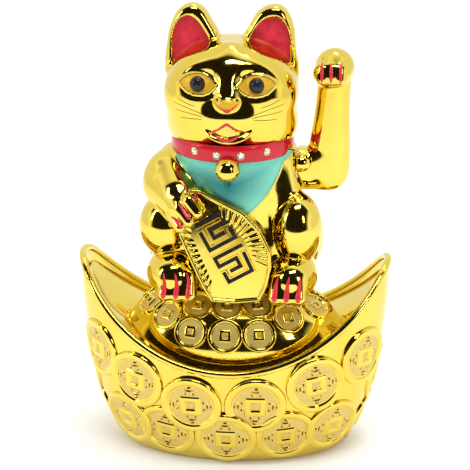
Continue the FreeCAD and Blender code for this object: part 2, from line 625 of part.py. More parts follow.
def make_pendulum():
    """Moulded lever: hub, stem and the cup for weight and magnet."""
    x = (PENDULUM_X - 1.5, PENDULUM_X + 1.5)
    end = PIVOT_Z - PENDULUM_LENGTH
    lever = rod(3.0, (x[0], PIVOT_Y, PIVOT_Z), (x[1], PIVOT_Y, PIVOT_Z))
    lever = lever.fuse(box(x, (PIVOT_Y - 1.8, PIVOT_Y + 1.8), (end + 8.0, PIVOT_Z)))
    cup = rod(5.0, (PENDULUM_X, PIVOT_Y, end - 2.0), (PENDULUM_X, PIVOT_Y, end + 9.0))
    lever = lever.fuse(cup).cut(rod(MAGNET_R + 0.02, (PENDULUM_X, PIVOT_Y, end - 3.0),
                                    (PENDULUM_X, PIVOT_Y, end + 8.0)))
    return lever.cut(rod(SHAFT_R + 0.02, (0, PIVOT_Y, PIVOT_Z), (15, PIVOT_Y, PIVOT_Z)))


def make_magnet():
    low = PIVOT_Z - PENDULUM_LENGTH - 2.0
    return rod(MAGNET_R, (PENDULUM_X, PIVOT_Y, low), (PENDULUM_X, PIVOT_Y, low + MAGNET_H))


def make_weight():
    low = PIVOT_Z - PENDULUM_LENGTH - 2.0 + MAGNET_H
    return rod(MAGNET_R, (PENDULUM_X, PIVOT_Y, low), (PENDULUM_X, PIVOT_Y, low + 7.0))


# ---- build ------------------------------------------------------------------------------------
def main():
    os.makedirs("parts", exist_ok=True)
    outside = cat_outside()
    front, rear = make_cat_shells(outside)
    collar = make_collar()
    bib = make_bib(outside)
    arm_front, arm_rear = make_arm_halves()
    red, feed, black = make_wires()
    nodes = {
        "ingot_shell": make_ingot_shell(),
        "ingot_deck": make_deck(),
        "base_plate": make_base_plate(),
        "base_screws": make_base_screws(),
        "battery_door": make_battery_door(),
        "battery_cell": make_cell(),
        "positive_contact": make_positive_contact(),
        "negative_contact": make_negative_contact(),
        "switch_body": make_switch_body(),
        "switch_knob": make_switch_knob(),
        "cat_front_shell": front,
        "cat_rear_shell": rear,
        "cat_screws": make_cat_screws(),
        "collar": collar,
        "bib": bib,
        "bell": make_bell(outside, collar, bib),
        "collar_stones": make_rhinestones(collar),
        "eye_beads": make_eyes(outside),
        "coin_plaque": make_plaque(outside, bib),
        "movement_frame": make_movement_frame(),
        "movement_screws": make_frame_screws(),
        "coil_bobbin": make_bobbin(),
        "coil_winding": make_coil(),
        "circuit_board": make_board(),
        "transistors": make_transistors(),
        "capacitor": make_capacitor(),
        "resistor": make_resistor(),
        "lead_cell_to_switch": red,
        "lead_switch_to_board": feed,
        "lead_cell_to_board": black,
        "arm_front_half": arm_front,
        "arm_rear_half": arm_rear,
        "arm_shaft": make_shaft(),
        "shaft_clip": make_clip(),
        "pendulum_lever": make_pendulum(),
        "pendulum_magnet": make_magnet(),
        "pendulum_weight": make_weight(),
    }
    for name, shape in nodes.items():
        save(name, shape)


main()
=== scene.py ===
"""Looks of the waving cat on its ingot. Lengths in this script are millimetres until a mesh is made."""
import json
import math
import bpy
import numpy as np
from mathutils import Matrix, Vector


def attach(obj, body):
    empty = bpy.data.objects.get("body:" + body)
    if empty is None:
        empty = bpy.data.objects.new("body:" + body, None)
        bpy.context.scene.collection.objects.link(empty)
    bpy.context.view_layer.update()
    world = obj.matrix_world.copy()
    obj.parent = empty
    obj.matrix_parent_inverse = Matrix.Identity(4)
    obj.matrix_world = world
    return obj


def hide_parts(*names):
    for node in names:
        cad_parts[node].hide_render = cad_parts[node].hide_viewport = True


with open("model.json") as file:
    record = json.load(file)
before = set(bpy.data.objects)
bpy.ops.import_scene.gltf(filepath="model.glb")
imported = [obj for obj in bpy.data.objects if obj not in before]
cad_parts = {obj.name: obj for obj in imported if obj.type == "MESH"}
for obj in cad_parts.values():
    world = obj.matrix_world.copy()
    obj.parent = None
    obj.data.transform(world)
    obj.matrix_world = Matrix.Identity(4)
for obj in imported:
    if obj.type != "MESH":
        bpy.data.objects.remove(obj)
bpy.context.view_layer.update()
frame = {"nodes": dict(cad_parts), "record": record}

MM = 0.001
FIGURE, ARM = "figure", "arm"


# ---- node materials ----
class Nodes:
    """A material with one Principled shader and short ways to wire nodes into it."""

    def __init__(self, name):
        self.mat = bpy.data.materials.new(name)
        self.mat.use_nodes = True
        self.tree = self.mat.node_tree
        self.shader = self.tree.nodes["Principled BSDF"]
        self.coords = self.add("ShaderNodeTexCoord").outputs["Object"]

    def add(self, kind, **values):
        node = self.tree.nodes.new(kind)
        for key, value in values.items():
            setattr(node, key, value)
        return node

    def put(self, socket, value):
        if isinstance(value, bpy.types.NodeSocket):
            self.tree.links.new(value, socket)
        else:
            socket.default_value = value

    def set(self, name, value):
        self.put(self.shader.inputs[name], value)

    def noise(self, scale, detail=2.0, rough=0.5):
        node = self.add("ShaderNodeTexNoise")
        self.put(node.inputs["Vector"], self.coords)
        self.put(node.inputs["Scale"], scale)
        self.put(node.inputs["Detail"], detail)
        self.put(node.inputs["Roughness"], rough)
        return node.outputs["Fac"]

    def spread(self, value, low, high, new_low, new_high):
        node = self.add("ShaderNodeMapRange")
        for socket, v in zip(node.inputs, (value, low, high, new_low, new_high)):
            self.put(socket, v)
        return node.outputs["Result"]

    def math(self, operation, a, b):
        node = self.add("ShaderNodeMath", operation=operation)
        self.put(node.inputs[0], a)
        self.put(node.inputs[1], b)
        return node.outputs[0]

    def mask(self, attribute, soft=0.06):
        """1 where the stored distance is negative, with a narrow soft edge, in millimetres."""
        node = self.add("ShaderNodeAttribute", attribute_name=attribute)
        return self.spread(node.outputs["Fac"], soft, -soft, 0.0, 1.0)

    def mix(self, factor, a, b):
        node = self.add("ShaderNodeMix", data_type="RGBA")
        self.put(node.inputs["Factor"], factor)
        self.put(node.inputs["A"], a)
        self.put(node.inputs["B"], b)
        return node.outputs["Result"]

    def bump(self, height, strength, distance):
        node = self.add("ShaderNodeBump")
        self.put(node.inputs["Height"], height)
        self.put(node.inputs["Strength"], strength)
        self.put(node.inputs["Distance"], distance)
        self.set("Normal", node.outputs["Normal"])


GOLD_LIGHT, GOLD_DEEP = (0.84, 0.66, 0.12, 1), (0.79, 0.59, 0.085, 1)
RED, RED_DEEP = (0.70, 0.030, 0.055, 1), (0.52, 0.012, 0.03, 1)


def gold_base(m):
    """Metallised plastic: a clear yellow mirror with a slow drift in tint."""
    return m.mix(m.spread(m.noise(45.0), 0.35, 0.65, 0.0, 1.0), GOLD_LIGHT, GOLD_DEEP)


def gold_haze(m):
    return m.spread(m.noise(900.0, 4.0), 0.3, 0.7, 0.045, 0.11)


def make_gold():
    m = Nodes("gold_mirror")
    m.set("Base Color", gold_base(m))
    m.set("Metallic", 1.0)
    m.set("Roughness", gold_haze(m))
    return m.mat


def make_painted_gold():
    """Gold with red and dark amber paint where the mesh's stored distances say so."""
    m = Nodes("gold_painted")
    red, amber = m.mask("red"), m.mask("amber", 0.3)
    tint = m.mix(m.spread(m.noise(260.0), 0.35, 0.65, 0.0, 1.0), RED, RED_DEEP)
    colour = m.mix(amber, gold_base(m), (0.62, 0.36, 0.02, 1))
    paint = m.math("MAXIMUM", red, m.spread(amber, 0.0, 1.0, 0.0, 0.9))
    m.set("Base Color", m.mix(red, colour, tint))
    m.set("Metallic", m.spread(paint, 0.0, 1.0, 1.0, 0.05))
    m.set("Specular IOR Level", 0.25)
    m.set("Roughness", m.math("ADD", gold_haze(m), m.spread(paint, 0.0, 1.0, 0.0, 0.28)))
    return m.mat


def make_frosted():
    """The sandy field of the coins: matt pale gold with a fine pitted grain."""
    m = Nodes("gold_frosted")
    grain = m.noise(2600.0, 3.0, 0.7)
    m.set("Base Color", m.mix(m.spread(grain, 0.35, 0.65, 0.0, 1.0),
                              (0.80, 0.62, 0.20, 1), (0.66, 0.48, 0.12, 1)))
    m.set("Metallic", 0.85)
    m.set("Roughness", 0.48)
    m.bump(grain, 0.55, 0.00025)
    return m.mat


def make_collar_red():
    m = Nodes("collar_gloss")
    m.set("Base Color", m.mix(m.spread(m.noise(120.0), 0.3, 0.7, 0, 1),
                              (0.56, 0.006, 0.022, 1), (0.44, 0.004, 0.015, 1)))
    m.set("Roughness", m.spread(m.noise(700.0, 3.0), 0.3, 0.7, 0.14, 0.24))
    m.set("Specular IOR Level", 0.3)
    m.set("Coat Weight", 0.25)
    m.set("Coat Roughness", 0.06)
    return m.mat


def make_teal():
    """Metallic teal spray with a gold outline, painted dark in the middle and minty towards its edge as a
    painted reflection of the dark room in front.
    """
    m = Nodes("bib_teal")
    edge = m.add("ShaderNodeAttribute", attribute_name="edge").outputs["Fac"]
    speck = m.spread(m.noise(3200.0, 2.0), 0.3, 0.7, -0.12, 0.12)
    # painted shade: the teal darkens from its edge to its middle as a painted reflection; the speck is the
    # spray's own fine grain
    painted_shade_and_speck = m.math("ADD", m.spread(edge, 1.5, 11.0, 0.0, 1.0), speck)
    teal = m.mix(painted_shade_and_speck, (0.22, 0.66, 0.50, 1), (0.025, 0.20, 0.21, 1))
    rim = m.spread(edge, 0.62, 0.78, 1.0, 0.0)
    m.set("Base Color", m.mix(rim, teal, GOLD_LIGHT))
    m.set("Metallic", m.spread(rim, 0, 1, 0.75, 1.0))
    m.set("Roughness", m.spread(rim, 0, 1, 0.42, 0.09))
    return m.mat


def make_simple(name, a, b, scale, rough, metallic=0.0, bump=0.0, coat=0.0, shine=0.5):
    """Two close colours in a noise, with varied roughness and an optional fine bump."""
    m = Nodes(name)
    n = m.noise(scale, 4.0)
    m.set("Base Color", m.mix(m.spread(n, 0.3, 0.7, 0, 1), (*a, 1), (*b, 1)))
    m.set("Metallic", metallic)
    m.set("Roughness", m.spread(n, 0.3, 0.7, rough * 0.85, rough * 1.15))
    m.set("Coat Weight", coat)
    if metallic < 0.5:
        m.set("Specular IOR Level", shine)
    if bump:
        m.bump(m.noise(scale * 6, 3.0), bump, 0.0002)
    return m.mat


def make_stone():
    m = Nodes("stone_clear")
    m.set("Base Color", m.mix(m.spread(m.noise(1500.0), 0.35, 0.65, 0, 1),
                              (0.78, 0.76, 0.82, 1), (0.52, 0.50, 0.60, 1)))
    m.set("Metallic", 0.35)
    m.set("Roughness", 0.12)
    m.set("Coat Weight", 1.0)
    return m.mat


GOLD = make_gold()
PAINTED = make_painted_gold()
FROSTED = make_frosted()
TEAL = make_teal()
COLLAR_RED = make_collar_red()
STONE = make_stone()
BEAD = make_simple("bead_black", (0.006, 0.006, 0.008), (0.014, 0.014, 0.016), 300, 0.05, shine=0.35)


# ---- mesh helpers ----
def piece(name, points, faces, materials, body=FIGURE, smooth=True, indices=None, normals=None,
          attributes=None, slot="gold_plastic", replaces=()):
    """One finished piece from points in millimetres. It rides on a body; the slot argument is not used."""
    mesh = bpy.data.meshes.new(name)
    mesh.from_pydata((np.asarray(points) * MM).tolist(), [], [tuple(f) for f in faces])
    for m in materials:
        mesh.materials.append(m)
    if indices is not None:
        mesh.polygons.foreach_set("material_index", np.asarray(indices, dtype=np.int32))
    mesh.polygons.foreach_set("use_smooth", np.full(len(mesh.polygons), smooth))
    for key, values in (attributes or {}).items():
        layer = mesh.attributes.new(key, "FLOAT", "POINT")
        layer.data.foreach_set("value", np.asarray(values, dtype=np.float32))
    mesh.validate()
    if normals is not None:
        mesh.normals_split_custom_set_from_vertices(np.asarray(normals).tolist())
    mesh.update()
    obj = bpy.data.objects.new(name, mesh)
    bpy.context.scene.collection.objects.link(obj)
    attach(obj, body)
    if replaces:
        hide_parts(*replaces)
    return obj


def grid_faces(rows, cols, wrap_cols=False, wrap_rows=False, flip=False):
    """Quads over a rows x cols grid of points."""
    faces = []
    for i in range(rows if wrap_rows else rows - 1):
        for j in range(cols if wrap_cols else cols - 1):
            i2, j2 = (i + 1) % rows, (j + 1) % cols
            quad = (i * cols + j, i2 * cols + j, i2 * cols + j2, i * cols + j2)
            faces.append(quad[::-1] if flip else quad)
    return faces


class Batch:
    """Several meshes gathered into one piece."""

    def __init__(self):
        self.points, self.faces, self.indices = [], [], []

    def add(self, points, faces, index=0):
        start = len(self.points)
        self.points.extend(np.asarray(points).tolist())
        self.faces.extend(tuple(start + k for k in f) for f in faces)
        self.indices.extend(index if hasattr(index, "__len__") else [index] * len(faces))

    def finish(self, name, materials, body=FIGURE, **more):
        piece(name, self.points, self.faces, materials, body, **more)


def round_ring(path, radius, sides):
    """A round tube along a closed path."""
    path = np.asarray(path, dtype=float)
    along = np.roll(path, -1, 0) - np.roll(path, 1, 0)
    along /= np.linalg.norm(along, axis=1)[:, None]
    side = np.cross(along, [0, 0, 1.0])
    side /= np.maximum(np.linalg.norm(side, axis=1), 1e-9)[:, None]
    up = np.cross(side, along)
    a = np.linspace(0, 2 * math.pi, sides, endpoint=False)
    ring = (side[:, None] * np.cos(a)[None, :, None] + up[:, None] * np.sin(a)[None, :, None]) * radius
    points = (path[:, None] + ring).reshape(-1, 3)
    return points, grid_faces(len(path), sides, wrap_cols=True, wrap_rows=True)


# ---- distance fields ----
def length(v):
    return np.sqrt((v * v).sum(-1))


def blob(p, centre, radii, turn_y=0.0):
    """Distance to an ellipsoid, close near its surface. The turn is degrees about its centre."""
    q = p - np.array(centre)
    if turn_y:
        c, s = math.cos(math.radians(turn_y)), math.sin(math.radians(turn_y))
        x, z = q[..., 0].copy(), q[..., 2].copy()
        q[..., 2], q[..., 0] = c * z + s * x, -s * z + c * x
    r = np.array(radii)
    k0 = length(q / r)
    k1 = length(q / (r * r))
    return k0 * (k0 - 1.0) / np.maximum(k1, 1e-9)


def limb(p, a, b, ra, rb):
    """Distance to a rounded cone between two points."""
    a, b = np.array(a, dtype=float), np.array(b, dtype=float)
    d = b - a
    t = np.clip(((p - a) @ d) / (d @ d), 0, 1)
    return length(p - a - t[..., None] * d) - (ra + (rb - ra) * t)


def join(a, b, k):
    """Smooth union."""
    h = np.clip(0.5 + 0.5 * (b - a) / k, 0, 1)
    return b + (a - b) * h - k * h * (1 - h)


def carve(a, b, k):
    """a with b smoothly taken away."""
    return -join(-a, b, k)


def polyline(x, z, points):
    """Distance in the plane to an open line."""
    nearest = np.full(x.shape, 1e9)
    for (x1, z1), (x2, z2) in zip(points[:-1], points[1:]):
        ex, ez = x2 - x1, z2 - z1
        t = np.clip(((x - x1) * ex + (z - z1) * ez) / (ex * ex + ez * ez), 0, 1)
        nearest = np.minimum(nearest, np.hypot(x - x1 - t * ex, z - z1 - t * ez))
    return nearest


def polygon(x, z, outline):
    """Signed distance in the plane to a closed outline, negative inside."""
    pts = np.array(outline, dtype=float)
    inside = np.zeros(x.shape, dtype=bool)
    for (x1, z1), (x2, z2) in zip(pts, np.roll(pts, -1, 0)):
        if z1 != z2:
            inside ^= ((z1 > z) != (z2 > z)) & (x < (x2 - x1) * (z - z1) / (z2 - z1) + x1)
    nearest = polyline(x, z, np.concatenate([pts, pts[:1]]))
    return np.where(inside, -nearest, nearest)


def catmull_rom(p, starts, steps):
    """Points along the spans that begin at the given indices, each span's end left out."""
    out = []
    for i in starts:
        a, b, c, d = p[i - 1], p[i], p[(i + 1) % len(p)], p[(i + 2) % len(p)]
        for t in np.linspace(0, 1, steps, endpoint=False):
            out.append(0.5 * (2 * b + (c - a) * t + (2 * a - 5 * b + 4 * c - d) * t ** 2
                              + (3 * b - a - 3 * c + d) * t ** 3))
    return out


def smooth_line(points, steps=6):
    """Catmull-Rom points through an open line."""
    p = np.array([points[0]] + list(points) + [points[-1]], dtype=float)
    return np.array(catmull_rom(p, range(1, len(p) - 2), steps) + [p[-2]])


def smooth_loop(points, steps=6):
    """Catmull-Rom points round a closed outline."""
    return np.array(catmull_rom(np.array(points, dtype=float), range(len(points)), steps))


def slope(field, p, e=0.05):
    """Unit gradient of a field and its size."""
    g = np.empty_like(p)
    for k in range(3):
        step = np.zeros(3)
        step[k] = e
        g[:, k] = (field(p + step) - field(p - step)) / (2 * e)
    size = np.maximum(np.linalg.norm(g, axis=1), 1e-6)
    return g / size[:, None], size


def skin(field, low, high, step):
    """Quad mesh of field = 0, its points pulled onto the surface, and the surface's normals."""
    axes = [np.arange(lo, hi + step, step) for lo, hi in zip(low, high)]
    shape = tuple(len(a) for a in axes)
    values = np.empty(shape)
    for i, x in enumerate(axes[0]):                  # slice by slice, to keep memory small
        yy, zz = np.meshgrid(axes[1], axes[2], indexing="ij")
        p = np.stack([np.full(yy.shape, x), yy, zz], -1)
        values[i] = field(p)
    cells = tuple(n - 1 for n in shape)
    total, count = np.zeros(cells + (3,)), np.zeros(cells)
    corners = [(i, j, k) for i in (0, 1) for j in (0, 1) for k in (0, 1)]

    def corner(c):
        return values[tuple(slice(o, o + n) for o, n in zip(c, cells))]

    for c in corners:
        for axis in range(3):
            if c[axis]:
                continue
            d = list(c)
            d[axis] = 1
            va, vb = corner(c), corner(d)
            cross = (va < 0) != (vb < 0)
            t = np.where(cross, va / np.where(cross, va - vb, 1), 0)
            for k in range(3):
                total[..., k] += np.where(cross, c[k] + (t if k == axis else 0), 0)
            count += cross
    used = count > 0
    ids = np.full(cells, -1)
    ids[used] = np.arange(used.sum())
    where = np.argwhere(used)
    points = (where + total[used] / count[used][:, None]) * step + np.array(low)
    quads = []
    for axis in range(3):
        others = [k for k in range(3) if k != axis]
        va = values[tuple(slice(0, -1) if k == axis else slice(1, -1) for k in range(3))]
        vb = values[tuple(slice(1, None) if k == axis else slice(1, -1) for k in range(3))]
        change = np.argwhere((va < 0) != (vb < 0))
        starts_inside = (va < 0)[tuple(change.T)]
        base = change + np.array([0 if k == axis else 1 for k in range(3)])
        ring = []
        for du, dv in ((0, 0), (1, 0), (1, 1), (0, 1)):
            cell = base.copy()
            cell[:, others[0]] -= du
            cell[:, others[1]] -= dv
            ring.append(ids[tuple(cell.T)])
        quad = np.stack(ring, 1)
        turn = starts_inside if axis != 1 else ~starts_inside
        quad[~turn] = quad[~turn][:, ::-1]
        quads.append(quad)
    faces = np.concatenate(quads)
    for _ in range(4):
        n, size = slope(field, points)
        shift = np.clip(field(points) / size, -0.5 * step, 0.5 * step)
        points = points - n * shift[:, None]
    normals, _ = slope(field, points, 0.08)
    return points, faces, normals


# ---- the cat's head ----
EARS = (
    [(-19.8, 128), (-19.7, 139.5), (-18.2, 145.4), (-16.4, 148.4), (-14.2, 149.4), (-12.1, 148.3),
     (-9.8, 144.6), (-7.6, 140.4), (-6.9, 135), (-8, 128)],
    [(4.6, 128), (4.6, 139.3), (6.3, 142.6), (8.2, 146.1), (9.8, 148.2), (11.8, 149.2), (13.9, 149.1),
     (15.4, 147.2), (16.6, 143.6), (17.1, 137.5), (17.4, 128)],
)
EAR_DISHES = (
    [(-20.4, 129), (-20.6, 134.7), (-20.7, 140.8), (-19.5, 145.0), (-17.1, 147.9), (-14.6, 148.3),
     (-12.2, 146.6), (-9.8, 143.1), (-8.1, 139.5), (-7.6, 134), (-8.4, 129)],
    [(4.6, 129), (4.0, 134), (4.2, 139.2), (5.7, 142.8), (7.8, 145.9), (10.2, 147.8), (13.2, 148.4),
     (15.7, 147.2), (17.1, 144.6), (17.9, 141.6), (18.2, 134.7), (17.8, 129)],
)
EAR_Y, EAR_ROUND = 3.6, 2.8
EYES = ((-10.3, 129.8), (8.7, 129.6))
EYE_UPPER = [(-6.0, 0.4), (-3.6, 2.5), (0.0, 3.3), (3.4, 2.5), (6.0, 0.0)]
EYE_LOWER = [(-6.0, 0.4), (-3.6, -2.2), (0.2, -3.2), (3.6, -2.4), (6.0, 0.0)]
CHIN = [(-8.6, 115.7), (-6.8, 113.6), (-4.2, 112.1), (-0.3, 110.9), (3.8, 112.0), (6.9, 114.0), (8.4, 116.0)]


def eye_line(centre, offsets):
    """A lid line in X and Z; the outer corner points away from the nose."""
    away = -1.0 if centre[0] < 0 else 1.0
    return smooth_line([(centre[0] - away * dx, centre[1] + dz) for dx, dz in offsets])


EAR_LOOPS = [smooth_loop(e, 4) for e in EARS]
DISH_LOOPS = [smooth_loop(e, 4) for e in EAR_DISHES]


def ear_dish(p):
    """Distance in the plane to the nearer ear's painted hollow."""
    return np.minimum(*(polygon(p[..., 0], p[..., 2], loop) for loop in DISH_LOOPS))


def ears(p):
    d = np.full(p.shape[:-1], 5.0)
    near = (p[..., 2] > 127.0) & (np.abs(p[..., 1] - EAR_Y) < 9.0)
    if near.any():
        q = p[near]
        plan = np.minimum(*(polygon(q[:, 0], q[:, 2], loop) for loop in EAR_LOOPS))
        back = np.abs(q[:, 1] - EAR_Y) - 1.1
        both = np.stack([plan, back], -1)
        solid = length(np.maximum(both, 0)) + np.minimum(np.maximum(plan, back), 0) - EAR_ROUND
        d[near] = carve(solid, np.maximum(ear_dish(q), q[:, 1] - (EAR_Y - 1.7)), 0.9)
    return d


def skull(p):
    q = (p - np.array((-0.9, 0.5, 124.2))) / (22.2, 19.4, 17.4)
    upper = ((np.hypot(q[..., 0], q[..., 2]) ** 3 + np.abs(q[..., 1]) ** 3) ** (1 / 3) - 1) * 18.6
    return join(upper, blob(p, (-0.7, 0.4, 113.6), (21.8, 18.8, 13.2)), 4.0)


def head(p):
    x, y, z = p[..., 0], p[..., 1], p[..., 2]
    d = skull(p)
    for ex, ez in EYES:
        away = -1.0 if ex < 0 else 1.0
        d = carve(d, blob(p, (ex, -22.0, ez + 1.7), (8.0, 6.4, 5.4), turn_y=8 * away), 2.6)
    d = join(d, limb(p, (-0.7, -9.0, 138.0), (-0.7, -18.0, 126.6), 3.0, 2.4), 3.6)
    d = join(d, blob(p, (-0.6, -19.4, 124.3), (3.9, 3.1, 2.2)), 1.4)
    for side in (-1, 1):
        d = join(d, blob(p, (-0.6 + side * 3.4, -15.6, 119.0), (4.8, 4.2, 4.2)), 3.0)
    d = join(d, blob(p, (-0.6, -16.9, 113.0), (7.6, 4.0, 2.6)), 1.6)
    mouth = polygon(x, z, MOUTH)
    d = carve(d, np.maximum(mouth, y + 19.2), 0.6)
    for ex, ez in EYES:
        d = join(d, blob(p, (ex, -13.7, ez), (5.6, 4.3, 3.6)), 0.7)
    front = np.clip((-6.0 - y) / 4.0, 0, 1)
    for eye in EYES:
        line = np.minimum(polyline(x, z, eye_line(eye, EYE_UPPER)[::3]),
                          polyline(x, z, eye_line(eye, EYE_LOWER)[::3]))
        d = d - 0.38 * np.exp(-(line / 0.5) ** 2) * front
    fade = np.clip((8.8 - np.abs(x)) / 3.0, 0, 1)
    d = d - 0.75 * np.exp(-(polyline(x, z, smooth_line(CHIN, 3)) / 0.85) ** 2) * front * fade
    d = join(d, ears(p), 1.2)
    return np.maximum(d, 105.0 - z)


MOUTH = [(-6.3, 114.3), (-3.7, 115.2), (-0.7, 117.0), (2.2, 115.4), (5.3, 114.6), (3.0, 113.4),
         (-0.6, 112.5), (-4.0, 113.2)]


def red_on_head(p):
    """The ears' hollows, where they stand clear of the skull."""
    dish = np.maximum(ear_dish(p) + 0.1, p[:, 1] - (EAR_Y - 0.9))
    return np.maximum(dish, np.maximum(0.25 - skull(p), 133.5 - p[:, 2]))


def amber_on_head(p):
    d = np.full(len(p), 9.0)
    for eye in EYES:
        outline = np.concatenate([eye_line(eye, EYE_UPPER), eye_line(eye, EYE_LOWER)[-2:0:-1]])
        d = np.minimum(d, polygon(p[:, 0], p[:, 2], outline))
    d = np.minimum(d, length((p - np.array((-0.4, -21.5, 124.2))) / (3.0, 3.0, 1.6)) * 1.8 - 1.8)
    return np.maximum(d, p[:, 1] + 8.0)


# ---- the cat's body ----
SEAT = 54.12
TOES_LEFT, TOES_RIGHT = (-21.3, -17.2, -13.2), (15.4, 19.3, 23.2)
PAW_TOES = [((-12.9, -21.0, 91.8), (-9.9, -23.2, 88.5)), ((-15.8, -20.4, 88.6), (-12.7, -23.4, 85.5)),
            ((-18.4, -18.8, 85.8), (-15.8, -22.2, 83.0))]


def chest(p):
    """Torso and neck, with the shoulder beside the waving arm."""
    d = join(blob(p, (0.2, 1.0, 71.0), (23.5, 18.2, 22.0)),
             blob(p, (-0.5, 0.6, 93.0), (20.6, 17.2, 17.0)), 8.0)
    d = join(d, blob(p, (-0.6, 0.3, 104.0), (19.4, 18.0, 11.0)), 5.0)
    d = join(d, blob(p, (14.6, 2.0, 99.2), (7.7, 8.6, 9.6)), 2.0)
    return join(d, limb(p, (15.4, -3.0, 101.4), (17.8, -6.0, 88.0), 5.6, 5.6), 3.5)


PLAQUE_ARM = [                                        # end, end, radius, radius, softness
    ((-18.6, 1.5, 97.6), (-22.2, -2.6, 93.4), 8.3, 8.5, 2.6),
    ((-21.9, -4.0, 97.4), (-17.4, -11.6, 91.8), 6.6, 6.8, 2.0),
    ((-21.6, -6.4, 91.6), (-15.0, -16.2, 88.0), 7.6, 6.3, 2.4),
]
LEGS = [                                              # centre, radii, softness: haunches, knees, feet
    ((18.8, 3.5, 72.6), (11.2, 16.0, 13.2), 2.0), ((-19.0, 3.0, 72.8), (11.4, 16.0, 13.2), 2.0),
    ((21.6, -8.0, 79.4), (8.4, 9.8, 12.4), 1.2), ((-22.4, -7.0, 79.2), (9.0, 9.8, 10.8), 1.2),
    ((20.4, -10.2, 63.8), (8.4, 11.8, 8.0), 0.9), ((-19.2, -10.2, 64.0), (9.3, 11.8, 8.2), 0.9),
]
TAIL = [(4, 18.5, 61), (10, 20.5, 61.5), (15, 20.0, 65), (16.5, 17.5, 69.5)]        # curled round behind
HUB_Y, HUB_Z, HUB_FACE, RECESS_R = 2.0, 99.0, 20.9, 9.5
NECK_TOP = 106.5


def body(p):
    z = p[..., 2]
    d = chest(p)
    for a, b, ra, rb, k in PLAQUE_ARM:
        d = join(d, limb(p, a, b, ra, rb), k)
    for centre, radii, k in LEGS:
        d = join(d, blob(p, centre, radii), k)
    for x in TOES_LEFT + TOES_RIGHT:
        d = join(d, limb(p, (x, -17.6, 65.0), (x, -20.4, 59.2), 2.2, 2.6), 1.5)
    for a, b in PAW_TOES:
        d = join(d, limb(p, a, b, 2.3, 1.9), 0.9)
    d = join(d, blob(p, (0.0, 6.0, 58.0), (20.0, 11.0, 10.0)), 2.0)          # seat behind the feet
    for a, b in zip(TAIL[:-1], TAIL[1:]):
        d = join(d, limb(p, a, b, 4.6, 4.3), 2.0)
    recess = np.hypot(p[..., 1] - HUB_Y, p[..., 2] - HUB_Z) - RECESS_R
    d = carve(d, np.maximum(recess, HUB_FACE - 0.15 - p[..., 0]), 0.4)
    return np.maximum(np.maximum(d, SEAT - z), z - NECK_TOP)


# ---- the waving arm ----
ARM_TOES = (28.9, 31.9, 35.0)


def arm(p):
    """A boxy upper arm from the hub, an oval forearm and a fist with three toes."""
    y, z = (p[..., 1] - HUB_Y) / 5.0, (p[..., 2] - 97.7) / 7.0
    end = np.maximum(p[..., 0] - 28.0, 0) / 8.0
    upper = ((np.abs(y) ** 4 + np.abs(z) ** 4 + end ** 4) ** 0.25 - 1) * 6.2
    upper = np.maximum(upper, HUB_FACE - p[..., 0])
    z = np.clip(p[..., 2], 97.8, 127.0)
    x = p[..., 0] - 31.0 - 1.8 * (z - 97.8) / 29.2
    wide = 5.4 + 1.95 / (1 + np.exp((z - 111.0) / 4.6))
    q = np.stack([x / wide, (p[..., 1] - 2.0) / 5.7, (p[..., 2] - z) / 7.3], -1)
    fore = (length(q) - 1) * 5.7
    d = join(upper, fore, 1.6)
    d = join(d, blob(p, (22.6, -3.9, 100.9), (3.3, 3.4, 3.1)), 0.5)
    d = join(d, blob(p, (32.7, 2.4, 131.8), (6.5, 6.3, 6.4)), 0.8)
    d = join(d, blob(p, (31.9, -1.4, 130.6), (6.1, 4.6, 4.7)), 1.5)
    for x in ARM_TOES:
        d = join(d, limb(p, (x, -3.2, 132.4), (x, -4.2, 129.0), 1.7, 1.7), 1.2)
    return np.maximum(d, HUB_FACE - p[..., 0])


# ---- strokes: painted lines and claws that lie on a field's surface ----
def settle(field, p, rounds=8):
    for _ in range(rounds):
        n, size = slope(field, p)
        p = p - n * np.clip(field(p) / size, -2.0, 2.0)[:, None]
    return p, n


def drop(field, x, z, from_y=-60.0, rounds=70):
    """Where a line running back from from_y first meets the surface, for each x and z."""
    p = np.stack([x, np.full(x.shape, from_y), z], -1)
    for _ in range(rounds):
        p[:, 1] += np.clip(field(p), -1.0, 6.0) * 0.8
    return p


def stroke(field, line, width, height, steps=5, taper=0.5, wedge=False):
    """A low rounded ridge on the surface along an X and Z line, narrowing towards its ends."""
    line = smooth_line(line, steps)
    p, n = settle(field, drop(field, line[:, 0].copy(), line[:, 1].copy()), 4)
    on = (np.abs(field(p)) < 0.05) & (p[:, 1] < 0)
    p, n = p[on], n[on]
    along = np.gradient(p, axis=0)
    along /= np.linalg.norm(along, axis=1)[:, None]
    side = np.cross(along, n)
    t = np.linspace(-1, 1, len(p))
    w = width * np.maximum(1 - np.abs(t) ** 3, 0.02) ** taper
    if wedge:                                         # pointed at its start, full near its end
        s = (1 + t) / 2
        w = width * np.maximum(s, 0.03) ** 0.75 * np.maximum(1 - s ** 7, 0.02) ** 0.5
    a = np.linspace(0, 2 * math.pi, 10, endpoint=False)
    ring = (side[:, None] * np.cos(a)[None, :, None] * w[:, None, None]
            + n[:, None] * np.sin(a)[None, :, None] * (height * w / width)[:, None, None])
    points = (p[:, None] + ring).reshape(-1, 3)
    faces = grid_faces(len(p), 10, wrap_cols=True)
    faces += [tuple(range(10)), tuple(range((len(p) - 1) * 10, len(p) * 10))[::-1]]
    return points, faces


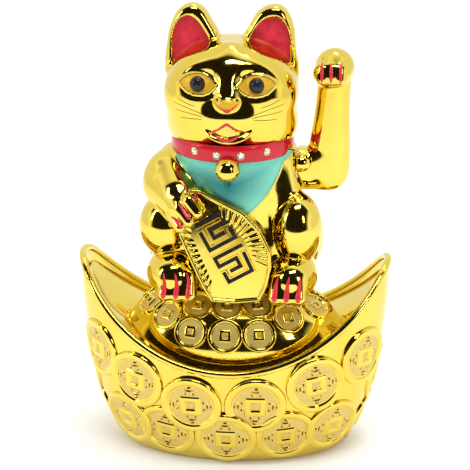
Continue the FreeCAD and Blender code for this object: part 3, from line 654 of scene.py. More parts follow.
def skins():
    """The head, the body and the waving arm, each one closed skin."""
    points, faces, normals = skin(head, (-26, -24, 103.5), (26, 23, 155), 0.5)
    piece("cat_head", points, faces, [PAINTED], normals=normals, replaces=("cat_front_shell",),
          attributes={"red": red_on_head(points), "amber": amber_on_head(points)})
    points, faces, normals = skin(body, (-34, -26, 53), (31, 27, 108), 0.55)
    piece("cat_body", points, faces, [GOLD], normals=normals, replaces=("cat_rear_shell",))
    points, faces, normals = skin(arm, (20, -9, 88), (42, 11, 141), 0.45)
    piece("waving_arm", points, faces, [GOLD], ARM, normals=normals,
          replaces=("arm_front_half", "arm_rear_half"))


skins()


NOSE_LINE = [(-4.1, 124.3), (-2.4, 122.9), (-0.6, 121.4), (1.3, 122.9), (3.0, 124.4)]
UPPER_LIP = [(-6.6, 114.4), (-3.7, 115.4), (-1.6, 116.8), (-0.7, 117.3), (0.2, 116.8), (2.3, 115.5),
             (5.6, 114.7)]
LOWER_LIP = [(-5.0, 113.9), (-3.0, 112.8), (-0.6, 112.2), (1.8, 112.8), (3.8, 114.0)]
WHISKERS = [                                          # the right cheek's; the left's are mirrored
    [(-18.6, 123.4), (-13.4, 121.9), (-7.8, 119.9)], [(-18.0, 121.0), (-13.0, 120.2), (-8.2, 119.3)],
    [(-17.2, 125.0), (-14.2, 123.6), (-11.0, 122.6)], [(-16.4, 118.4), (-12.4, 118.4), (-8.6, 118.6)],
]


def face_lines():
    red = Batch()
    for line, width, height in ((NOSE_LINE, 0.48, 0.24), (UPPER_LIP, 0.55, 0.28), (LOWER_LIP, 0.48, 0.24)):
        red.add(*stroke(head, line, width, height))
    red.finish("mouth_and_nose_paint", [RED_PAINT], slot="collar_red")
    black = Batch()
    for w in WHISKERS:
        for line in (w, [(-0.9 - x, z - 0.1) for x, z in w]):
            black.add(*stroke(head, line, 0.12, 0.07, 4, 0.3))
    for eye in EYES:
        black.add(*stroke(head, eye_line(eye, EYE_UPPER)[::4], 0.14, 0.10, 4, 0.3))
        black.add(*stroke(head, eye_line(eye, EYE_LOWER)[::4], 0.09, 0.08, 4, 0.3))
        away = -1.0 if eye[0] < 0 else 1.0
        for k in range(5):
            x = eye[0] + away * (-2.4 + 1.6 * k)
            z = eye[1] + 3.75 - 0.16 * (k - 1.5) ** 2
            black.add(*stroke(head, [(x, z), (x + away * 0.15, z + 0.9)], 0.07, 0.06, 4, 0.3))
    black.finish("whiskers_and_lashes", [BEAD], slot="bead_black")


RED_PAINT = make_simple("paint_red", (0.70, 0.03, 0.05), (0.55, 0.012, 0.03), 700, 0.28, 0.1, coat=0.3)
face_lines()


PAW_CLAWS = [[(-12.4, 93.7), (-10.8, 92.7), (-8.7, 91.1)], [(-16.4, 91.3), (-14.5, 89.2), (-12.2, 86.7)],
             [(-18.6, 86.5), (-16.9, 85.2), (-14.9, 83.6)]]


def claws():
    feet = Batch()
    for xs in (TOES_LEFT, TOES_RIGHT):
        for i, x in enumerate(xs):
            drift = 0.3 * (i - 1)
            top = x + (0.6 if x > 0 else -0.5) - drift
            feet.add(*stroke(body, [(top, 66.8), (x + 0.1, 63.0), (x - 0.3, 58.4)], 1.2, 0.45, wedge=True))
    for line in PAW_CLAWS:
        feet.add(*stroke(body, line, 0.95, 0.4, wedge=True))
    feet.finish("claw_paint", [RED_PAINT], slot="collar_red")
    hand = Batch()
    for x in ARM_TOES:
        hand.add(*stroke(arm, [(x, 134.8), (x, 131.6), (x, 128.2)], 0.56, 0.3, taper=0.9))
    hand.finish("arm_claw_paint", [RED_PAINT], ARM, slot="collar_red")


claws()


# ---- collar, stones, bell and bib ----
COLLAR_MID, COLLAR_HALF = 107.2, 2.8
COLLAR_RADII = (19.5, 19.2)
COLLAR_X, COLLAR_Y = -0.6, 0.2


def collar_point(angle, proud=0.0, up=0.0):
    x = COLLAR_X + (COLLAR_RADII[0] + proud) * math.sin(angle)
    y = COLLAR_Y - (COLLAR_RADII[1] + proud) * math.cos(angle)
    return np.array([x, y, COLLAR_MID + up])


def collar():
    around, rows = 160, []
    for k in range(24):
        a = 2 * math.pi * k / 24
        c, s = math.cos(a), math.sin(a)
        proud = math.copysign(abs(c) ** 0.6, c) * 0.95
        up = math.copysign(abs(s) ** 0.55, s) * COLLAR_HALF
        rows.append([collar_point(2 * math.pi * j / around, proud, up) for j in range(around)])
    points = np.array(rows).reshape(-1, 3)
    piece("collar_band", points, grid_faces(24, around, True, True, flip=True), [COLLAR_RED],
          slot="collar_red", replaces=("collar",))


def stones():
    """Cut stones: a flat table, eight crown facets, and a thin gold seat round each."""
    gems, seats = Batch(), Batch()
    for x, up in ((-10.9, 0.35), (-3.8, -0.35), (3.6, -0.35), (11.4, 0.35)):
        angle = math.asin((x - COLLAR_X) / COLLAR_RADII[0])
        base = collar_point(angle, 0.75, up)
        out = collar_point(angle, 1.75, up) - base
        side = np.cross(out, [0, 0, 1.0])
        rise = np.cross(side, out)
        rings = []
        for radius, lift, turn in ((1.1, 0.1, 0), (1.1, 0.35, 0), (0.62, 0.8, 0.5)):
            a = (np.arange(8) + turn) * math.pi / 4
            rings.append(base + out * lift + radius * (side * np.cos(a)[:, None] + rise * np.sin(a)[:, None]))
        points = np.concatenate(rings)
        faces = [tuple(range(16, 24)), tuple(range(8))[::-1]]
        for k in range(8):
            n = (k + 1) % 8
            faces += [(k, n, 8 + n, 8 + k), (8 + k, 8 + n, 16 + k), (8 + n, 16 + n, 16 + k)]
        gems.add(points, faces)
        ring = [base + out * 0.25 + 1.18 * (side * math.cos(a) + rise * math.sin(a))
                for a in np.linspace(0, 2 * math.pi, 24, endpoint=False)]
        seats.add(*round_ring(ring, 0.2, 8))
    gems.finish("collar_gems", [STONE], smooth=False, slot="stone_clear", replaces=("collar_stones",))
    seats.finish("gem_seats", [GOLD])


def turned(profile, centre, axis=(0, 0, 1.0), sides=64):
    """Points and faces of a profile of (radius, height) turned about an axis."""
    axis = np.array(axis, dtype=float)
    axis /= np.linalg.norm(axis)
    u = np.cross(axis, [1.0, 0, 0] if abs(axis[0]) < 0.9 else [0, 1.0, 0])
    u /= np.linalg.norm(u)
    v = np.cross(axis, u)
    a = np.linspace(0, 2 * math.pi, sides, endpoint=False)
    points = []
    for r, h in profile:
        points.append(np.array(centre) + axis * h + r * (u * np.cos(a)[:, None] + v * np.sin(a)[:, None]))
    faces = grid_faces(len(profile), sides, wrap_cols=True, flip=True)
    faces += [tuple(range(sides)), tuple(range((len(profile) - 1) * sides, len(profile) * sides))[::-1]]
    return np.concatenate(points), [f[::-1] for f in faces]


def bell():
    r = 4.0
    profile = []
    for k in range(33):
        a = math.pi * (k + 0.02) / 32.04
        h = -r * math.cos(a)
        ridge = 0.16 * math.exp(-((h + 0.1) / 0.45) ** 2)
        profile.append((r * math.sin(a) + ridge, h))
    points, faces = turned(profile, (-0.3, -21.1, 102.6))
    piece("bell_ball", points, faces, [GOLD], replaces=("bell",))


BIB = [(-20.4, 106.4), (-19.5, 101.5), (-16.8, 95.6), (-12.2, 89.6), (-6.4, 85.2), (-0.5, 83.4),
       (5.6, 85.4), (10.8, 90.2), (14.9, 96.3), (17.0, 101.7), (17.8, 106.4)]


def bib():
    """A thin apron laid on the chest, in rings from its middle to its outline."""
    outline = smooth_loop(BIB, 12)
    middle = np.array([-0.5, 97.0])
    rings = [0.02, 0.12, 0.25, 0.4, 0.55, 0.68, 0.78, 0.86, 0.91, 0.945, 0.97, 0.985, 1.0, 1.0]
    flat = np.concatenate([middle + (outline - middle) * t for t in rings])
    p = drop(chest, flat[:, 0].copy(), flat[:, 1].copy())
    p[:, 1] = np.minimum(p[:, 1], -2.0)
    p, n = settle(chest, p, 12)
    edge = -polygon(flat[:, 0], flat[:, 1], outline)
    lift = 0.42 * np.clip(edge / 0.5, 0, 1) ** 0.5
    lift[-len(outline):] = -0.4
    rim = 0.22 * np.exp(-((edge - 0.45) / 0.28) ** 2)
    p = p + n * (lift + np.where(lift > 0, rim, 0))[:, None]
    p[:, 0] = np.minimum(p[:, 0], 20.4)
    faces = grid_faces(len(rings), len(outline), wrap_cols=True)
    faces.append(tuple(range(len(outline)))[::-1])
    piece("bib_apron", p, faces, [TEAL], attributes={"edge": np.maximum(edge, 0)},
          slot="bib_teal", replaces=("bib",))


def eyes():
    beads = Batch()
    for x, z in EYES:
        p = drop(head, np.array([x]), np.array([z]))[0]
        profile = []
        for k in range(20):
            a = math.pi * (k + 0.05) / 19.2
            profile.append((2.6 * math.sin(a), -2.6 * math.cos(a)))
        points, faces = turned(profile, p + np.array([0, 1.25, 0.0]), (0, -1.0, 0.05), 40)
        beads.add(points, faces)
    beads.finish("eyes_glossy", [BEAD], slot="bead_black", replaces=("eye_beads",))


collar()
stones()
bell()
bib()
eyes()


# ---- ingot ----
FOOT_A, FOOT_B, FLARE_A, FLARE_B, FLARE_H = 37.5, 21.5, 16.3, 13.5, 24.0
RIM_RADIUS, RIM_CENTRE, TIP_TOP = 57.5, 93.8, 68.3
WALL, RECESS_A, RECESS_B = 2.0, 36.2, 20.2


def half_sizes(z):
    rise = 1 - np.exp(-np.maximum(z, 0) / FLARE_H)
    return FOOT_A + FLARE_A * rise, FOOT_B + FLARE_B * rise


def rim_height(x):
    x = np.minimum(np.abs(x), RIM_RADIUS - 1)
    z = RIM_CENTRE - np.sqrt(RIM_RADIUS ** 2 - x ** 2)
    return -np.logaddexp(-z * 0.9, -TIP_TOP * 0.9) / 0.9        # the arc, rounded off at the tips


def wall(p):
    """About the distance to the ingot's outer wall, negative inside."""
    a, b = half_sizes(p[..., 2])
    k0 = np.hypot(p[..., 0] / a, p[..., 1] / b)
    k1 = np.hypot(p[..., 0] / a ** 2, p[..., 1] / b ** 2)
    return k0 * (k0 - 1) / np.maximum(k1, 1e-9)


def rim_line(count, inset=0.0, under=0.0):
    """Points along the rim; its height follows the arc at each point's own X."""
    t = np.linspace(0, 2 * math.pi, count, endpoint=False)
    z = np.full(count, 45.0)
    for _ in range(60):
        a, b = half_sizes(z)
        x, y = (a - inset) * np.cos(t), (b - inset) * np.sin(t)
        z = 0.5 * z + 0.5 * (rim_height(x) - under)
    return np.stack([x, y, z], 1), t


def ingot():
    around = 288
    top, t = rim_line(around, 0.0, 0.9)
    rows = []
    fillet = 1.6
    for k in range(7):                                # rounded foot edge
        a = math.pi / 2 * k / 6
        z = fillet * (1 - math.cos(a))
        inset = fillet * (1 - math.sin(a))
        sa, sb = half_sizes(z)
        rows.append(np.stack([(sa - inset) * np.cos(t), (sb - inset) * np.sin(t), np.full(around, z)], 1))
    low = 1.6
    for s in np.linspace(0, 1, 44)[1:]:
        z = low + (top[:, 2] - low) * s
        sa, sb = half_sizes(z)
        rows.append(np.stack([sa * np.cos(t), sb * np.sin(t), z], 1))
    inner, _ = rim_line(around, WALL, 0.9)
    below, _ = rim_line(around, WALL, 4.6)
    rows += [0.5 * (top + inner) + [0, 0, 0.6], inner, below]
    underside = []
    for less, z in ((0, 0.0), (0, 2.6), (1, 2.6)):
        x, y = (RECESS_A - less) * np.cos(t), (RECESS_B - less) * np.sin(t)
        underside.append(np.stack([x, y, np.full(around, z)], 1))
    rows = underside[::-1] + rows
    faces = grid_faces(len(rows), around, wrap_cols=True, flip=True)
    piece("ingot_wall", np.concatenate(rows), faces, [GOLD], replaces=("ingot_shell",))
    centre, _ = rim_line(720, WALL / 2, 0.9)
    piece("ingot_rim", *round_ring(centre, 1.3, 18), [GOLD])


def deck():
    """Canoe-shaped deck with a keel line running from each tip to the mound."""
    xs = 49.6 * np.sin(np.linspace(-math.pi / 2, math.pi / 2, 121))
    across = np.linspace(-1, 1, 61)
    rows = []
    for x in xs:
        z = RIM_CENTRE - math.sqrt((RIM_RADIUS + 1.6) ** 2 - x * x)
        a, b = half_sizes(z)
        half = max((b - WALL + 0.3) * math.sqrt(max(1 - (x / (a - WALL + 0.3)) ** 2, 0)), 0.05)
        y = across * half
        keel = 5.2 * np.exp(-np.abs(y) / 7.0) * min(1.0, (50.5 - abs(x)) / 9)
        rows.append(np.stack([np.full(61, x), y, z - keel], 1))
    faces = grid_faces(len(xs), 61)
    obj = piece("ingot_deck_skin", np.concatenate(rows), faces, [GOLD], replaces=("ingot_deck",))
    thick = obj.modifiers.new("thickness", "SOLIDIFY")
    thick.thickness, thick.offset = 1.2 * MM, -1.0


MOUND_Z, MOUND_RADII, SEAT_TOP = 38.0, (38.2, 24.6, 21.6), 54.0


def mound(p):
    return blob(p, (0, 0, MOUND_Z), MOUND_RADII)


def mound_dome():
    around = 200
    t = np.linspace(0, 2 * math.pi, around, endpoint=False)
    rows = []
    for k in range(40):
        a = math.radians(-24 + 114 * k / 39.5)
        ring = np.stack([MOUND_RADII[0] * math.cos(a) * np.cos(t), MOUND_RADII[1] * math.cos(a) * np.sin(t),
                         np.full(around, MOUND_Z + MOUND_RADII[2] * math.sin(a))], 1)
        ring[:, 2] = -np.logaddexp(-ring[:, 2] * 1.2, -SEAT_TOP * 1.2) / 1.2
        rows.append(ring)
    faces = grid_faces(len(rows), around, wrap_cols=True, flip=True)
    faces.append(tuple(range(39 * around, 40 * around)))
    piece("mound_dome", np.concatenate(rows), faces, [GOLD])


# ---- coins ----
def coin_levels(scale):
    """(reach, squareness, height, frosted) from the centre out; reach is in millimetres."""
    levels = [(0.0, 1, 0.12, 1), (0.8, 1, 0.12, 1), (1.3, 1, 0.12, 1), (1.5, 1, 0.30, 0),
              (1.65, 1, 0.62, 0), (1.9, 1, 0.72, 0), (3.1, 1, 0.72, 0), (3.3, 1, 0.62, 0),
              (3.46, 1, 0.26, 0), (3.6, 0.98, 0.22, 1), (4.5, 0.8, 0.22, 1), (5.6, 0.5, 0.22, 1),
              (6.6, 0.15, 0.22, 1), (7.5, 0.0, 0.22, 1), (7.9, 0.0, 0.26, 0), (8.05, 0.0, 0.52, 0),
              (8.3, 0.0, 0.74, 0), (8.8, 0.0, 0.86, 0), (9.4, 0.0, 0.88, 0), (9.9, 0.0, 0.82, 0),
              (10.2, 0.0, 0.64, 0), (10.4, 0.0, 0.36, 0), (10.5, 0.0, -0.1, 0), (10.5, 0.0, -1.1, 0)]
    return [(r * scale, sq, h * (0.55 + 0.45 * scale), f) for r, sq, h, f in levels]


def coin(batch, field, centre, scale=1.0, layer=0.0, spin=0.0, floor=0.7, marks=True):
    """A square-holed coin that follows the surface under it, raised by its layer."""
    centre, n = (v[0] for v in settle(field, np.array([centre], dtype=float)))
    side = np.cross([0, 0, 1.0], n)
    side /= np.linalg.norm(side)
    up = np.cross(n, side)
    c, s = math.cos(spin), math.sin(spin)
    side, up = side * c + up * s, up * c - side * s
    count = 72
    a = np.linspace(0, 2 * math.pi, count, endpoint=False)
    square = 1 / np.maximum(np.abs(np.cos(a)), np.abs(np.sin(a)))
    rows, frosted = [], []
    for reach, squareness, height, frost in coin_levels(scale):
        r = reach * (1 + (square - 1) * squareness)
        q = centre + side * (r * np.cos(a))[:, None] + up * (r * np.sin(a))[:, None]
        q, g = settle(field, q, 5)
        lift = height + (layer if height > -1 else 0.0)
        q = q + g * lift
        q[:, 2] = np.maximum(q[:, 2], floor)
        rows.append(q)
        frosted.append(frost)
    points = np.concatenate([rows[0][:1]] + rows[1:])
    faces = [(0, 1 + k, 1 + (k + 1) % count) for k in range(count)]
    indices = [frosted[0]] * count
    for i in range(len(rows) - 2):
        for k in range(count):
            k2 = (k + 1) % count
            faces.append((1 + i * count + k, 1 + (i + 1) * count + k, 1 + (i + 1) * count + k2,
                          1 + i * count + k2))
            indices.append(1 if frosted[i + 1] and frosted[i + 2] else 0)
    batch.add(points, faces, indices)
    if marks:
        coin_marks(batch, field, centre, side, up, scale, layer)


def coin_marks(batch, field, centre, side, up, scale, layer):
    """Plain raised ornament on the field: a short bar between two pellets, on all four sides."""
    for quarter in range(4):
        c, s = math.cos(quarter * math.pi / 2), math.sin(quarter * math.pi / 2)
        e, f = side * c + up * s, up * c - side * s
        for x, y, half_x, half_y in ((5.75, 0.0, 0.36, 1.75), (4.5, 1.35, 0.5, 0.42),
                                     (4.5, -1.35, 0.5, 0.42), (6.95, 0.0, 0.42, 0.95)):
            a = np.linspace(0, 2 * math.pi, 10, endpoint=False)
            rings = []
            for grow, height in ((1.25, 0.1), (1.0, 0.3), (0.55, 0.36)):
                q = (centre + e * ((x + half_x * grow * np.cos(a)) * scale)[:, None]
                     + f * ((y + half_y * grow * np.sin(a)) * scale)[:, None])
                q, g = settle(field, q, 4)
                rings.append(q + g * (height + layer))
            faces = grid_faces(3, 10, wrap_cols=True) + [tuple(range(20, 30))]
            batch.add(np.concatenate(rings), faces, 0)


WALL_COINS = [                                        # x, height, layer, tilt
    (-11.7, 23.9, 0.95, 0.03), (9.7, 24.1, 0.45, -0.04), (-30.9, 29.9, 0.35, -0.1), (29.3, 30.9, 0.75, 0.12),
    (-20.9, 11.6, 0.0, -0.1), (-0.4, 11.1, 0.75, 0.0), (19.4, 11.5, 0.15, 0.08),
]
END_COINS = [                                         # angle round the plan from +X, height, layer
    (-27, 37.5, 0.35), (-153, 37.2, 0.1), (-38, 12.8, 0.2), (-142, 12.6, 0.25),
    (0, 26.5, 0.0), (180, 26.5, 0.0), (0, 10.6, 0.0), (180, 10.6, 0.0),
]


def wall_coins():
    front, rear, ends = Batch(), Batch(), Batch()
    for x, z, layer, spin in WALL_COINS:
        a, b = half_sizes(np.array(z))
        y = float(b) * math.sqrt(1 - (x / float(a)) ** 2)
        coin(front, wall, (x, -y, z), 1.0, layer, spin)
        coin(rear, wall, (-x, y, z), 1.0, layer, spin)
    for degrees, z, layer in END_COINS:
        angles = [degrees] if degrees in (0, 180) else [degrees, degrees + 180]
        for d in angles:
            a, b = (float(v) for v in half_sizes(np.array(z)))
            place = (a * math.cos(math.radians(d)), b * math.sin(math.radians(d)), z)
            coin(ends, wall, place, 1.0, layer, 0.05 * d / 90)
    for name, batch in (("coins_front", front), ("coins_rear", rear), ("coins_ends", ends)):
        batch.finish(name, [GOLD, FROSTED], indices=batch.indices)


MOUND_COINS = [                                       # x, y, layer, size
    (-12.6, -21.2, 0.45, 0.55), (10.2, -21.8, 0.45, 0.55), (-0.9, -22.9, 0.9, 0.56),
    (-21.1, -15.2, 0.3, 0.53), (19.4, -15.7, 0.35, 0.53), (-10.7, -15.3, 0.2, 0.52),
    (9.1, -15.0, 0.15, 0.52), (-0.9, -16.4, 0.0, 0.54), (-28.0, -6.6, 0.1, 0.52), (28.0, -6.2, 0.1, 0.52),
]


def mound_coins():
    front, rear = Batch(), Batch()
    for x, y, layer, scale in MOUND_COINS:
        share = math.sqrt(max(1 - (x / MOUND_RADII[0]) ** 2 - (y / MOUND_RADII[1]) ** 2, 0.0))
        z = MOUND_Z + MOUND_RADII[2] * share
        coin(front, mound, (x, y, z), scale, layer, 0.0, marks=False)
        coin(rear, mound, (-x, -y, z), scale, layer, 0.0, marks=False)
    for name, batch in (("mound_coins_front", front), ("mound_coins_rear", rear)):
        batch.finish(name, [GOLD, FROSTED], indices=batch.indices)


ingot()
deck()
mound_dome()
wall_coins()
mound_coins()


# ---- the long coin that the cat holds ----
PLAQUE = [(-9.8, 95.2), (-3.2, 91.8), (4.8, 88.0), (10.4, 82.4), (13.9, 75.6), (14.1, 69.6),
          (12.9, 63.4), (10.4, 58.0), (2.2, 57.0), (-5.8, 57.4), (-8.8, 62.6), (-11.5, 68.4),
          (-14.2, 74.2), (-16.5, 79.8), (-16.0, 85.0), (-14.4, 91.6), (-13.2, 95.2)]
PLAQUE_Y, PLAQUE_BACK = -21.2, -15.0
PLAQUE_AXIS = np.array([0.49, -0.872])               # from its top end to its bottom end, in X and Z
PLAQUE_MIDDLE = np.array([-1.2, 76.2])


def lean(z):
    """How far the plaque's face falls back towards its top."""
    rise = np.maximum(z - 64.0, 0.0)
    return 0.075 * rise + 0.0008 * rise ** 2


def plaque():
    corners = np.array(PLAQUE)
    outline = []
    for i in range(len(corners)):                      # soften the corners a little
        a, b = corners[i], corners[(i + 1) % len(corners)]
        outline += [a + (b - a) * t for t in np.linspace(0, 1, 26, endpoint=False)]
    outline = np.array(outline)
    for _ in range(10):
        outline = 0.5 * outline + 0.25 * (np.roll(outline, 1, 0) + np.roll(outline, -1, 0))
    middle = PLAQUE_MIDDLE
    gaps = [0, 0, 0.25, 0.55, 0.95, 1.2, 1.45, 1.7, 2.1, 2.7, 3.4, 4.1, 4.7, 5.1, 5.5, 6.5]
    reach = np.linalg.norm(outline - middle, axis=1)
    inward = (middle - outline) / reach[:, None]
    step = np.linalg.norm(np.roll(outline, -1, 0) - outline, axis=1)
    along = np.concatenate([[0], np.cumsum(step)])[:-1]
    across = (outline - middle) @ np.array([PLAQUE_AXIS[1], -PLAQUE_AXIS[0]])
    lengthwise = (outline - middle) @ PLAQUE_AXIS
    ribbed = np.clip((14.6 - np.abs(lengthwise + 1.0)) / 1.5, 0, 1)
    rows = []
    tangent = np.roll(outline, -1, 0) - np.roll(outline, 1, 0)
    tangent /= np.linalg.norm(tangent, axis=1)[:, None]
    square = np.abs(inward[:, 0] * tangent[:, 1] - inward[:, 1] * tangent[:, 0])
    for k, gap in enumerate(gaps):
        flat = outline + inward * (gap / np.maximum(square, 0.35))[:, None]
        height = np.full(len(outline), np.interp(gap, [0, 0.25, 0.55, 0.95, 1.2, 1.45, 9],
                                                 [0.3, 0.85, 1.05, 1.0, 0.75, 0.2, 0.2]))
        band = np.clip((gap - 1.3) / 0.3, 0, 1) * np.clip((np.where(across > 0, 3.2, 5.2) - gap) / 0.4, 0, 1)
        wave = np.clip(0.5 + 1.1 * np.cos(2 * math.pi * along / 2.55), 0, 1)
        height = height + 0.62 * band * wave * ribbed
        y = PLAQUE_Y + lean(flat[:, 1]) - height if k else np.full(len(outline), PLAQUE_BACK)
        rows.append(np.stack([flat[:, 0], y, flat[:, 1]], 1))
    faces = grid_faces(len(rows), len(outline), wrap_cols=True)
    centre = np.array([[middle[0], PLAQUE_Y + lean(middle[1]) - 0.2, middle[1]]])
    points = np.concatenate(rows + [centre])
    start, last = (len(rows) - 1) * len(outline), len(rows) * len(outline)
    faces += [(start + k, last, start + (k + 1) % len(outline)) for k in range(len(outline))]
    faces.append(tuple(range(len(outline))))
    piece("plaque_body", points, faces, [GOLD], replaces=("coin_plaque",))


def plaque_point(u, v, height):
    """u runs along the plaque from its middle towards the lower end, v across it."""
    across = np.array([-PLAQUE_AXIS[1], PLAQUE_AXIS[0]])
    x, z = PLAQUE_MIDDLE + PLAQUE_AXIS * u + across * v
    return (x, PLAQUE_Y + lean(z) - 0.2 - height, z)


FRET = [                                              # a plain angular fret across the coin
    [(-10.6, -4.6), (-10.6, 4.2), (-7.4, 4.2), (-7.4, -1.6), (-4.4, -1.6), (-4.4, 1.6)],
    [(-7.4, -4.8), (-1.4, -4.8), (-1.4, 4.6), (-4.4, 4.6)],
    [(1.8, 4.8), (1.8, -4.8), (4.8, -4.8), (4.8, 1.6), (7.8, 1.6), (7.8, -1.6)],
    [(4.8, 4.6), (10.8, 4.2), (10.8, -4.4), (7.8, -4.4)],
]


def ribbon(batch, line, half, low, high):
    """A flat-topped raised band along a line in the plaque's own plane, with mitred corners."""
    p = np.array(line, dtype=float)
    d = np.diff(p, axis=0)
    d /= np.linalg.norm(d, axis=1)[:, None]
    left = np.stack([-d[:, 1], d[:, 0]], 1)
    p[0] -= d[0] * half
    p[-1] += d[-1] * half
    offsets = [left[0]] + [(left[i] + left[i + 1]) / (1 + left[i] @ left[i + 1]) for i in range(len(d) - 1)]
    offsets.append(left[-1])
    rows = []
    for q, o in zip(p, offsets):
        rows.append([plaque_point(*(q + o * half * 1.1), low), plaque_point(*(q + o * half * 0.85), high),
                     plaque_point(*(q - o * half * 0.85), high), plaque_point(*(q - o * half * 1.1), low)])
    points = np.array(rows).reshape(-1, 3)
    faces = grid_faces(len(rows), 4)
    n = len(rows)
    faces += [(0, 1, 2, 3), tuple(4 * (n - 1) + k for k in (3, 2, 1, 0))]
    batch.add(points, faces)


def plaque_fret():
    gold, ink = Batch(), Batch()
    for line in FRET:
        ribbon(gold, line, 1.15, -0.1, 0.42)
        ribbon(ink, line, 0.72, 0.0, 0.52)
    gold.finish("fret_border", [GOLD], smooth=False)
    ink.finish("fret_inlay", [INK_PAINT], smooth=False, slot="bead_black")


INK_PAINT = make_simple("paint_black", (0.012, 0.010, 0.010), (0.03, 0.026, 0.022), 900, 0.35,
                        bump=0.1, shine=0.03)
plaque()
plaque_fret()


# ---- materials of the CAD nodes that stay ----
NODE_LOOKS = {
    "black_plastic": ((0.03, 0.03, 0.032), (0.045, 0.045, 0.048), 500, 0.45, 0.0, 0.25),
    "white_plastic": ((0.80, 0.80, 0.77), (0.70, 0.70, 0.68), 400, 0.42, 0.0, 0.1),
    "steel": ((0.60, 0.60, 0.61), (0.48, 0.48, 0.50), 900, 0.28, 1.0, 0.1),
    "part_black": ((0.02, 0.02, 0.02), (0.035, 0.035, 0.035), 900, 0.5, 0.0, 0.2),
    "copper_wire": ((0.70, 0.30, 0.12), (0.52, 0.19, 0.07), 1500, 0.3, 1.0, 0.6),
    "ferrite": ((0.06, 0.06, 0.065), (0.10, 0.10, 0.105), 900, 0.55, 0.2, 0.3),
    "board_green": ((0.03, 0.22, 0.09), (0.05, 0.30, 0.14), 300, 0.4, 0.0, 0.1),
    "capacitor_blue": ((0.04, 0.07, 0.28), (0.06, 0.10, 0.36), 300, 0.3, 0.1, 0.0),
    "resistor_tan": ((0.72, 0.56, 0.34), (0.60, 0.44, 0.24), 600, 0.35, 0.0, 0.0),
    "wire_red": ((0.55, 0.02, 0.02), (0.42, 0.015, 0.015), 400, 0.4, 0.0, 0.0),
    "wire_black": ((0.02, 0.02, 0.02), (0.035, 0.035, 0.035), 400, 0.4, 0.0, 0.0),
    "wire_yellow": ((0.70, 0.50, 0.04), (0.55, 0.38, 0.03), 400, 0.4, 0.0, 0.0),
    "cell_sleeve": ((0.08, 0.10, 0.14), (0.12, 0.14, 0.19), 200, 0.25, 0.3, 0.0),
}
slots = {part["node"]: part["material_slot"] for part in frame["record"]["subparts"]}
looks = {}
for node_name, node_object in frame["nodes"].items():
    slot_name = slots[node_name]
    if slot_name in NODE_LOOKS:
        if slot_name not in looks:
            a, b, scale, rough, metallic, bump = NODE_LOOKS[slot_name]
            looks[slot_name] = make_simple("cad_" + slot_name, a, b, scale, rough, metallic, bump)
        look = looks[slot_name]
    else:
        look = {"collar_red": COLLAR_RED, "bib_teal": TEAL, "bead_black": BEAD, "stone_clear": STONE}.get(
            slot_name, GOLD)
    if not node_object.material_slots:
        node_object.data.materials.append(look)
    for material_slot in node_object.material_slots:
        material_slot.material = look


# ---- stage, light and camera ----
def stage_mesh(name, points, faces, colour=None):
    """A mesh that is only scenery, with a matt material."""
    mesh = bpy.data.meshes.new(name)
    mesh.from_pydata(points, [], faces)
    obj = bpy.data.objects.new(name, mesh)
    bpy.context.scene.collection.objects.link(obj)
    m = Nodes(name)
    if colour:
        m.set("Base Color", (*colour, 1))
    m.set("Roughness", 0.9)
    m.set("Specular IOR Level", 0.0)
    mesh.materials.append(m.mat)
    return obj, m


def area(name, place, target, size, power):
    data = bpy.data.lights.new(name, "AREA")
    data.shape, data.size, data.size_y = "RECTANGLE", size[0], size[1]
    data.energy = power
    obj = bpy.data.objects.new(name, data)
    obj.location = place
    obj.rotation_euler = (Vector(target) - Vector(place)).to_track_quat("-Z", "Y").to_euler()
    bpy.context.scene.collection.objects.link(obj)
    obj.visible_camera = False


SURROUND_CENTRE, SURROUND_REACH = (0, 0, 0.1), 0.85
SURROUND_WIDE, SURROUND_HIGH = np.linspace(-78, 78, 79), np.linspace(-40, 96, 97)      # degrees


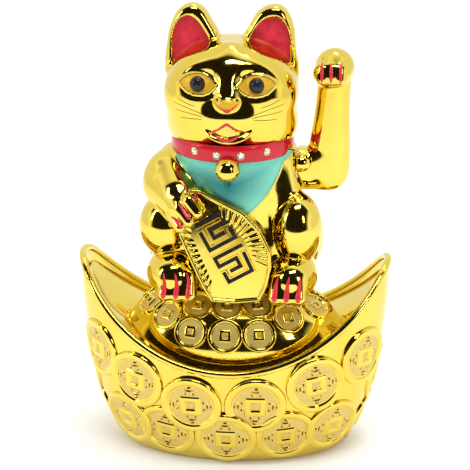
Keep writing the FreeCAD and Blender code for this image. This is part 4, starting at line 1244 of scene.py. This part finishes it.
def dark_surround():
    """The unlit room in front of the set, above the table's edge, fading to white at its sides."""
    points, shade = [], []
    for high in SURROUND_HIGH:
        for wide in SURROUND_WIDE:
            el, az = math.radians(high), math.radians(wide)
            way = np.array([math.sin(az), -math.cos(az) * math.cos(el), math.cos(az) * math.sin(el)])
            reach = min(SURROUND_REACH, 0.095 / max(-way[2], 1e-3))           # stays above the floor
            points.append((np.array(SURROUND_CENTRE) + way * reach).tolist())
            away = max((abs(wide) - 60) / 12, (high - 84) / 8, (-8.5 - high) / 2)
            shade.append(min(max(away + 0.5, 0.0), 1.0))
    faces = grid_faces(len(SURROUND_HIGH), len(SURROUND_WIDE))
    obj, m = stage_mesh("dark_surround", points, faces)
    layer = obj.data.attributes.new("shade", "FLOAT", "POINT")
    layer.data.foreach_set("value", shade)
    obj.data.polygons.foreach_set("use_smooth", np.full(len(faces), True))
    level = m.add("ShaderNodeAttribute", attribute_name="shade").outputs["Fac"]
    m.set("Base Color", m.mix(level, (0.014, 0.011, 0.007, 1), (0.95, 0.95, 0.95, 1)))
    obj.visible_camera = obj.visible_shadow = obj.visible_diffuse = False


stage_mesh("floor", [(-3, -3, 0), (3, -3, 0), (3, 3, 0), (-3, 3, 0)], [(0, 1, 2, 3)], (0.93, 0.93, 0.93))
dark_surround()
area("overhead_box", (0.16, 0.08, 1.05), (0, 0, 0.08), (0.6, 0.22), 2.6)
area("front_box", (0.08, -0.30, 0.80), (0, 0, 0.12), (0.40, 0.12), 1.6)
area("left_box", (-0.62, -0.30, 0.42), (0, 0, 0.08), (0.10, 0.34), 0.8)
area("right_box", (0.50, -0.52, 0.40), (0, 0, 0.08), (0.09, 0.22), 0.5)
world = bpy.data.worlds.new("studio")
world.use_nodes = True
world.node_tree.nodes["Background"].inputs["Color"].default_value = (1, 1, 1, 1)
world.node_tree.nodes["Background"].inputs["Strength"].default_value = 1.0
bpy.context.scene.world = world
bpy.context.scene.view_settings.view_transform = "Standard"

AZIMUTH, ELEVATION, DISTANCE, FOCAL = 5.5, 18.0, 0.600, 135.9
target = Vector((0.0001, 0.0, 0.0738))
az, el = math.radians(AZIMUTH), math.radians(ELEVATION)
away = Vector((math.sin(az) * math.cos(el), -math.cos(az) * math.cos(el), math.sin(el)))
camera_data = bpy.data.cameras.new("camera")
camera_data.lens, camera_data.sensor_width = FOCAL, 36.0
camera = bpy.data.objects.new("camera", camera_data)
camera.location = target + away * DISTANCE
camera.rotation_euler = (-away).to_track_quat("-Z", "Y").to_euler()
bpy.context.scene.collection.objects.link(camera)
bpy.context.scene.camera = camera
